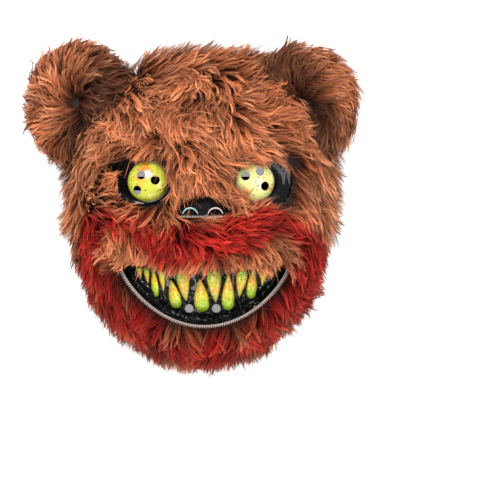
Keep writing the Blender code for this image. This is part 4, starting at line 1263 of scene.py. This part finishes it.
def build_nose(material, ring_highlight_left, ring_highlight_right, edge):
    """Half-round nose with nostril hollows and rings, pale arcs over the rings as painted highlights, and a
    pale line along its upper edge.
    """
    sides, rings = 60, 24
    bm = bmesh.new()
    levels = []
    for ring in range(rings + 1):
        turn = math.pi / 2 * ring / rings
        shrink = max(math.cos(turn) ** 0.8, 0.01)
        row = []
        for side in range(sides + 1):
            angle = math.pi * side / sides
            x = NOSE_X + NOSE_HALF_WIDTH * shrink * math.cos(angle)
            y = NOSE_BASE_Y + NOSE_HEIGHT * shrink * math.sin(angle)
            z = float(dome_height(x, y, 0)) + NOSE_RISE * math.sin(turn)
            for way in (-1, 1):
                away = math.hypot(x - NOSE_X - way * NOSTRIL_SPACING / 2, y - NOSE_BASE_Y)
                z -= 0.005 * float(smooth(NOSTRIL_RADIUS, NOSTRIL_RADIUS * 0.55, away))
                z += 0.0012 * math.exp(-((away - NOSTRIL_RADIUS) / 0.0011) ** 2)
            row.append(bm.verts.new((x, y, z)))
        levels.append(row)
    for low, high in zip(levels, levels[1:]):
        for side in range(sides):
            bm.faces.new((low[side], low[side + 1], high[side + 1], high[side]))
    skirt = []
    for side in range(sides + 1):
        vert = levels[0][side].co
        height = float(dome_height(vert.x, vert.y, 0.0003))
        skirt.append(bm.verts.new((vert.x, vert.y, min(height, vert.z - 0.0002))))
    for side in range(sides):
        bm.faces.new((skirt[side], skirt[side + 1], levels[0][side + 1], levels[0][side]))
    bm.faces.new([skirt[0]] + [row[0] for row in levels] + [row[-1] for row in levels[::-1]]
                 + [skirt[-1]])
    bmesh.ops.recalc_face_normals(bm, faces=bm.faces)
    obj = add_piece("nose_moulding", bm, material, 50)
    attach(obj, "root")
    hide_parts("nose")
    # Pale arcs over the nostril rims: painted highlights.
    for way, painted_highlight in ((-1, ring_highlight_left), (1, ring_highlight_right)):
        path = []
        for step in range(25):
            angle = math.radians(12 + 156 * step / 24)
            x = NOSE_X + way * NOSTRIL_SPACING / 2 + NOSTRIL_RADIUS * 1.02 * math.cos(angle)
            y = NOSE_BASE_Y + NOSTRIL_RADIUS * 1.02 * math.sin(angle)
            path.append(Vector((x, y, nose_height(x, y) + 0.0013)))
        ring = tube(path, lambda s: 0.00030 + 0.00042 * math.sin(math.pi * s), 8)
        obj = add_piece("nostril_ring_highlight_" + ("left" if way < 0 else "right"), ring, painted_highlight)
        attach(obj, "root")
    # Pale thin line along the nose's upper edge.
    path = []
    for step in range(41):
        angle = math.radians(14 + 152 * step / 40)
        x = NOSE_X + NOSE_HALF_WIDTH * 0.985 * math.cos(angle)
        y = NOSE_BASE_Y + NOSE_HEIGHT * 0.985 * math.sin(angle)
        path.append(Vector((x, y, nose_height(x, y) + 0.0004)))
    obj = add_piece("nose_edge", tube(path, 0.00035, 6), edge)
    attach(obj, "root")


def nose_height(x, y):
    """Height of the nose's surface over a point, without its nostrils."""
    across = (x - NOSE_X) / NOSE_HALF_WIDTH
    up = (y - NOSE_BASE_Y) / NOSE_HEIGHT
    shrink = min(math.hypot(across, up), 1.0)
    turn = math.acos(shrink ** (1 / 0.8))
    return float(dome_height(x, y, 0)) + NOSE_RISE * math.sin(turn)


# Teeth, as shares of the mouth's half width (across) and height (down), as in the model
TEETH = (
    {"name": "tooth_lower_1", "base": (-0.610, 0.575), "tip": (-0.648, 0.085), "width": 0.050},
    {"name": "tooth_lower_2", "base": (-0.345, 0.755), "tip": (-0.424, 0.285), "width": 0.080},
    {"name": "tooth_lower_3", "base": (-0.025, 0.815), "tip": (-0.063, 0.269), "width": 0.100},
    {"name": "tooth_lower_4", "base": (0.295, 0.791), "tip": (0.297, 0.204), "width": 0.086},
    {"name": "tooth_lower_5", "base": (0.582, 0.604), "tip": (0.614, 0.085), "width": 0.070},
    {"name": "tooth_upper_1", "base": (-0.835, 0.070), "tip": (-0.804, 0.275), "width": 0.038},
    {"name": "tooth_upper_2", "base": (-0.740, 0.080), "tip": (-0.712, 0.360), "width": 0.038},
    {"name": "tooth_upper_3", "base": (-0.545, 0.090), "tip": (-0.515, 0.480), "width": 0.044},
    {"name": "tooth_upper_4", "base": (-0.292, 0.100), "tip": (-0.232, 0.640), "width": 0.084},
    {"name": "tooth_upper_5", "base": (0.105, 0.100), "tip": (0.140, 0.655), "width": 0.092},
    {"name": "tooth_upper_6", "base": (0.477, 0.100), "tip": (0.437, 0.570), "width": 0.074},
    {"name": "tooth_upper_7", "base": (0.755, 0.085), "tip": (0.725, 0.400), "width": 0.050},
)
TOOTH_ALONG = (0.00, 0.12, 0.35, 0.65, 0.88, 1.00)
TOOTH_WIDTH = (0.62, 0.93, 1.00, 0.72, 0.34, 0.10)
TOOTH_DEPTH = (0.50, 0.88, 1.00, 0.80, 0.50, 0.26)


def tooth_ends(row):
    ends = []
    for across, down in (row["base"], row["tip"]):
        ends.append(np.array((MOUTH_X + MOUTH_HALF_WIDTH * across, MOUTH_Y - MOUTH_HEIGHT * down)))
    return ends


def build_teeth(material):
    for row in TEETH:
        base, tip = tooth_ends(row)
        axis = tip - base
        across = np.array((-axis[1], axis[0])) / np.linalg.norm(axis)
        width = 2 * MOUTH_HALF_WIDTH * row["width"]
        thickness = TOOTH_THICKNESS * min(1.0, 0.55 + 5 * row["width"])
        steps, sides = 36, 28
        along = (1 - np.cos(np.linspace(0.0, np.pi, steps))) / 2
        wide = np.interp(along, TOOTH_ALONG, TOOTH_WIDTH)
        wide = np.convolve(np.pad(wide, 3, "edge"), np.ones(7) / 7, "valid")
        wide *= np.sqrt(np.clip(1 - ((along - 0.5) / 0.503) ** 10, 0, 1))
        deep = np.interp(along, TOOTH_ALONG, TOOTH_DEPTH)
        deep = np.convolve(np.pad(deep, 3, "edge"), np.ones(7) / 7, "valid")
        deep *= np.sqrt(np.clip(1 - ((along - 0.5) / 0.503) ** 10, 0, 1))
        centre = base + axis * along[:, None]
        turn = np.linspace(0, np.pi, sides)
        offset = (width / 2) * wide[:, None] * np.cos(turn)[None, :]
        rise = thickness * deep[:, None] * np.sin(turn)[None, :] ** 0.8
        x = centre[:, :1] + across[0] * offset
        y = centre[:, 1:] + across[1] * offset
        z = dome_height(x, y, -MOUTH_RECESS + 0.0003) + rise
        grid = np.stack((x, y, z), axis=-1)
        bm = grid_mesh(grid, False)
        bmesh.ops.recalc_face_normals(bm, faces=bm.faces)
        border = [edge for edge in bm.edges if edge.is_boundary]
        bmesh.ops.contextual_create(bm, geom=border)
        bmesh.ops.triangulate(bm, faces=[face for face in bm.faces if len(face.verts) > 4])
        bmesh.ops.recalc_face_normals(bm, faces=bm.faces)
        obj = add_piece(row["name"] + "_enamel", bm, material, 60)
        share = np.repeat(along, sides)
        value = obj.data.attributes.new("along", "FLOAT", "POINT")
        value.data.foreach_set("value", share.astype(np.float32))
        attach(obj, "root")
        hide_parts(row["name"])


def gum_relief(x, y):
    """Height of the moulded gum over the tray's floor."""
    relief = np.zeros_like(x)
    for row in TEETH:
        base, tip = tooth_ends(row)
        half = MOUTH_HALF_WIDTH * row["width"]
        away = np.hypot((x - base[0]) / 1.0, (y - base[1]) / 1.1)
        ring = np.exp(-((away - half * 1.45) / 0.0016) ** 2)
        relief += 0.0030 * ring * (1 if "lower" in row["name"] else 0.6)
        axis = (tip - base) / np.linalg.norm(tip - base)
        along = (x - base[0]) * axis[0] + (y - base[1]) * axis[1]
        aside = np.abs((x - base[0]) * axis[1] - (y - base[1]) * axis[0])
        reach = np.linalg.norm(tip - base)
        root = np.exp(-((aside - half) / 0.0013) ** 2) * smooth(reach, 0, along)
        relief += 0.0016 * root * smooth(-0.004, 0.001, along)
    upper, lower, _ = mouth_edges(x, 0)
    from_edge = y - lower
    relief += 0.0036 * smooth(0.0022, 0.0, from_edge)
    relief += 0.0022 * np.exp(-((from_edge - 0.0085) / 0.0018) ** 2)
    relief -= 0.0014 * np.exp(-((from_edge - 0.0045) / 0.0018) ** 2)
    points = np.stack((x.ravel(), y.ravel(), 0 * x.ravel()), axis=-1)
    relief += 0.0005 * field(51, points, 0.010).reshape(x.shape)
    relief += 0.0003 * field(52, points, 0.004).reshape(x.shape)
    return np.clip(relief, -0.001, 0.0055)


def build_gums(material):
    """Recessed tray with a moulded gum and two breathing holes."""
    columns, rows = 150, 56
    grow = 0.0019
    share = -np.cos(np.linspace(0, np.pi, columns))
    x = MOUTH_X + (MOUTH_HALF_WIDTH + 1.4 * grow) * share
    upper, lower, _ = mouth_edges(x, grow)
    down = np.linspace(0, 1, rows)[None, :]
    x = np.repeat(x[:, None], rows, axis=1)
    y = upper[:, None] + (lower - upper)[:, None] * down
    edge = np.minimum.reduce((
        (upper[:, None] - y), (y - lower[:, None]),
        (MOUTH_HALF_WIDTH + 1.4 * grow - np.abs(x - MOUTH_X))))
    floor = dome_height(x, y, -MOUTH_RECESS) + gum_relief(x, y)
    lip = dome_height(x, y, 0.0012)
    wall = smooth(0.0022, 0.0012, edge)
    top = floor + (lip - floor) * wall
    bottom = dome_height(x, y, -MOUTH_RECESS - 0.0016)
    bm = grid_mesh(np.stack((x, y, top), axis=-1), False)
    merge(bm, grid_mesh(np.stack((x, y, bottom), axis=-1), False))
    bm.verts.ensure_lookup_table()
    border = list(range(rows))
    border += [column * rows + rows - 1 for column in range(1, columns)]
    border += [(columns - 1) * rows + row for row in range(rows - 2, -1, -1)]
    border += [column * rows for column in range(columns - 2, 0, -1)]
    total = rows * columns
    for index, vert in enumerate(border):
        following = border[(index + 1) % len(border)]
        bm.faces.new((bm.verts[vert], bm.verts[following],
                      bm.verts[total + following], bm.verts[total + vert]))
    bmesh.ops.recalc_face_normals(bm, faces=bm.faces)
    obj = add_piece("gums", bm, material, 60)
    cutters = []
    for side in (-1, 1):
        spot = Matrix.Translation((MOUTH_X - 0.0015 + side * BREATHING_HOLE_SPACING / 2,
                                   MOUTH_Y - BREATHING_HOLE_DOWN, 0))
        cutters.append(round_cutter(spot, BREATHING_HOLE_RADIUS, 0.005, 0.15, 32))
    cut_holes(obj, cutters)
    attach(obj, "root")
    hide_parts("mouth_tray")


def build_stitches(thread, cloth):
    """Pale cut edge of the cloth along the mouth, and stitches along the mouth and the nose."""
    share = -np.cos(np.linspace(0.06, np.pi - 0.06, 180))
    x = MOUTH_X + (MOUTH_HALF_WIDTH + 0.004) * share
    _, lower, _ = mouth_edges(x, 0.0026)
    edge = [Vector((a, b, float(dome_height(a, b, 0.0034)))) for a, b in zip(x, lower)]
    bm = tube(edge, 0.0006, 6)
    obj = add_piece("mouth_cloth_edge", bm, cloth)
    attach(obj, "root")
    bm = bmesh.new()
    for point, along in resample(edge, 0.0019):
        out = Vector((along.y, -along.x, 0)).normalized()
        start = point - out * 0.0010 + along * 0.0003 + Vector((0, 0, 0.0005))
        end = point + out * 0.0016 - along * 0.0003 + Vector((0, 0, 0.0007))
        merge(bm, tube([start, (start + end) / 2 + Vector((0, 0, 0.0003)), end], 0.00028, 5))
    obj = add_piece("mouth_stitches", bm, thread)
    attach(obj, "root")
    x = NOSE_X + NOSE_HALF_WIDTH * np.linspace(-0.85, 0.92, 60)
    line = []
    for a in x:
        high = nose_height(a, NOSE_BASE_Y + 0.001)
        line.append(Vector((a, NOSE_BASE_Y - 0.0008, high + 0.0006)))
    bm = bmesh.new()
    for point, along in resample(line, 0.0014):
        start = point + Vector((-0.0002, 0.0007, 0.0002))
        end = point + Vector((0.0002, -0.0009, 0.0003))
        merge(bm, tube([start, (start + end) / 2 + Vector((0, 0, 0.0003)), end], 0.00024, 5))
    obj = add_piece("nose_stitches", bm, thread)
    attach(obj, "root")


def resample(path, spacing):
    """Evenly spaced (point, direction) pairs along a line."""
    lengths = [0.0]
    for first, second in zip(path, path[1:]):
        lengths.append(lengths[-1] + (second - first).length)
    result = []
    for place in np.arange(spacing / 2, lengths[-1], spacing):
        index = int(np.searchsorted(lengths, place)) - 1
        share = (place - lengths[index]) / (lengths[index + 1] - lengths[index])
        along = (path[index + 1] - path[index]).normalized()
        result.append((path[index].lerp(path[index + 1], share), along))
    return result


def dress_hidden_nodes(metal):
    """Material for the small pieces that keep the model's shape."""
    for name in ("rivet_left", "rivet_right"):
        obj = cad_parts[name]
        obj.data.materials.clear()
        obj.data.materials.append(metal)


def elastic_material():
    """Black woven elastic: ribs along the band and a fine cross weave."""
    material, nodes, links, shader = node_material("elastic", 0.85, (0.02, 0.02, 0.02))
    place = nodes.new("ShaderNodeTexCoord").outputs["Object"]
    ribs = nodes.new("ShaderNodeTexWave")
    ribs.bands_direction = "Y"
    ribs.inputs["Scale"].default_value = 180
    links.new(place, ribs.inputs["Vector"])
    cross = nodes.new("ShaderNodeTexWave")
    cross.bands_direction = "X"
    cross.inputs["Scale"].default_value = 420
    links.new(place, cross.inputs["Vector"])
    weave = add_mix(nodes, links, 0.5, ribs.outputs["Color"], cross.outputs["Color"])
    ramp = add_ramp(nodes, ((0.2, (0.008, 0.008, 0.008)), (0.8, (0.045, 0.045, 0.047))))
    links.new(weave, ramp.inputs["Fac"])
    links.new(ramp.outputs["Color"], shader.inputs["Base Color"])
    add_bump(nodes, links, weave, 0.6, 0.0004, shader)
    return material


def metal_material():
    material, nodes, links, shader = node_material("rivet_metal", 0.35, (0.55, 0.55, 0.56), 1.0)
    place = nodes.new("ShaderNodeTexCoord").outputs["Object"]
    noise = add_noise(nodes, links, place, 900, 4)
    ramp = add_ramp(nodes, ((0.3, (0.42, 0.42, 0.43)), (0.7, (0.62, 0.62, 0.63))))
    links.new(noise.outputs["Fac"], ramp.inputs["Fac"])
    links.new(ramp.outputs["Color"], shader.inputs["Base Color"])
    return material


# Stage

CAMERA_DISTANCE = 2.4
PIXEL = 0.00085
FRAME_WIDTH = 500
FRAME_HEIGHT = 492
FACE_PIXEL_X = 201
FACE_PIXEL_Y = 209
FOCUS_HEIGHT = 0.045


def build_camera():
    """Camera straight over the face, framed as the photograph."""
    data = bpy.data.cameras.new("camera")
    camera = bpy.data.objects.new("camera", data)
    bpy.context.scene.collection.objects.link(camera)
    camera.location = (FACE[0], FACE[1], FOCUS_HEIGHT + CAMERA_DISTANCE)
    data.sensor_fit = "HORIZONTAL"
    data.sensor_width = 36
    data.lens = 36 * CAMERA_DISTANCE / (FRAME_WIDTH * PIXEL)
    data.shift_x = (FRAME_WIDTH / 2 - FACE_PIXEL_X) / FRAME_WIDTH
    data.shift_y = (FACE_PIXEL_Y - FRAME_HEIGHT / 2) / FRAME_WIDTH
    data.clip_end = 20
    bpy.context.scene.camera = camera


def add_light(name, place, target, size, energy, colour=(1, 1, 1)):
    data = bpy.data.lights.new(name, "AREA")
    data.size = size
    data.energy = energy
    data.color = colour
    light = bpy.data.objects.new(name, data)
    bpy.context.scene.collection.objects.link(light)
    light.location = place
    way = Vector(target) - Vector(place)
    light.rotation_euler = way.to_track_quat("-Z", "Y").to_euler()


def build_stage():
    bm = bmesh.new()
    bmesh.ops.create_grid(bm, x_segments=40, y_segments=40, size=3.0)
    mesh = bpy.data.meshes.new("floor")
    bm.to_mesh(mesh)
    bm.free()
    floor = bpy.data.objects.new("floor", mesh)
    bpy.context.scene.collection.objects.link(floor)
    material, nodes, links, shader = node_material("floor", 0.9, (0.9, 0.9, 0.9), specular=0.2)
    place = nodes.new("ShaderNodeTexCoord").outputs["Object"]
    noise = add_noise(nodes, links, place, 6)
    ramp = add_ramp(nodes, ((0.3, (0.88, 0.88, 0.88)), (0.7, (0.92, 0.92, 0.92))))
    links.new(noise.outputs["Fac"], ramp.inputs["Fac"])
    links.new(ramp.outputs["Color"], shader.inputs["Base Color"])
    shader.inputs["Emission Color"].default_value = (1, 1, 1, 1)
    shader.inputs["Emission Strength"].default_value = 0.35
    mesh.materials.append(material)
    world = bpy.data.worlds.new("studio")
    world.use_nodes = True
    background = world.node_tree.nodes["Background"]
    background.inputs["Color"].default_value = (1, 1, 1, 1)
    background.inputs["Strength"].default_value = 0.42
    bpy.context.scene.world = world
    add_light("key", (-0.55, 0.75, 1.5), (0, 0, 0.05), 0.7, 36)
    add_light("fill", (0.9, -0.2, 1.3), (0, 0, 0.05), 0.9, 13)
    add_light("low", (0.0, -1.2, 0.7), (0, 0, 0.05), 0.6, 6)
    bpy.context.scene.view_settings.view_transform = "Standard"


def stain_left(x, y):
    """Where the left eye is stained: its upper and middle part."""
    return 0.62 - 0.75 * np.hypot(x + 0.05, y - 0.35)


def stain_right(x, y):
    """Where the right eye is stained: its lower right."""
    return 0.45 - 0.75 * np.hypot(x - 0.65, y + 0.25)


pile = pile_material()
backing = backing_material()
black = black_material("shell_black", 0.16, 0.25)
wet_black = black_material("gum_black", 0.10, 0.5)
build_camera()
build_stage()
build_head_plush(pile)
build_backing(backing)
build_ear(-1, "ear_left", "ear_left", pile, backing, 404)
build_ear(1, "ear_right", "ear_right", pile, backing, 505)
build_shell(black)
build_eye("eye_left", -1, ((-0.20, 0.32), (0.50, 0.07), (-0.42, -0.42)), stain_left,
          eye_material("eye_paint_left", (0.50, 0.52, 0.05), (0.75, 0.20, 0.02),
                       (0.45, 0.02, 0.01), 2.0))
build_eye("eye_right", 1, ((-0.56, 0.28), (0.17, 0.50), (0.42, -0.22)), stain_right,
          eye_material("eye_paint_right", (0.66, 0.66, 0.24), (0.62, 0.36, 0.05),
                       (0.42, 0.03, 0.01), 9.0))
# The nostril rings' pale colours are painted highlights.
build_nose(black, thread_and_highlight_material("nostril_painted_highlight_left", (0.35, 0.62, 0.66)),
           thread_and_highlight_material("nostril_painted_highlight_right", (0.70, 0.52, 0.56)),
           thread_and_highlight_material("nose_edge_line", (0.45, 0.33, 0.30)))
build_gums(wet_black)
build_teeth(tooth_material())
build_stitches(thread_and_highlight_material("thread", (0.72, 0.58, 0.50)),
               thread_and_highlight_material("cloth_edge", (0.30, 0.19, 0.14)))
dress_hidden_nodes(metal_material())
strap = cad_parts["strap"]
strap.data.materials.clear()
strap.data.materials.append(elastic_material())
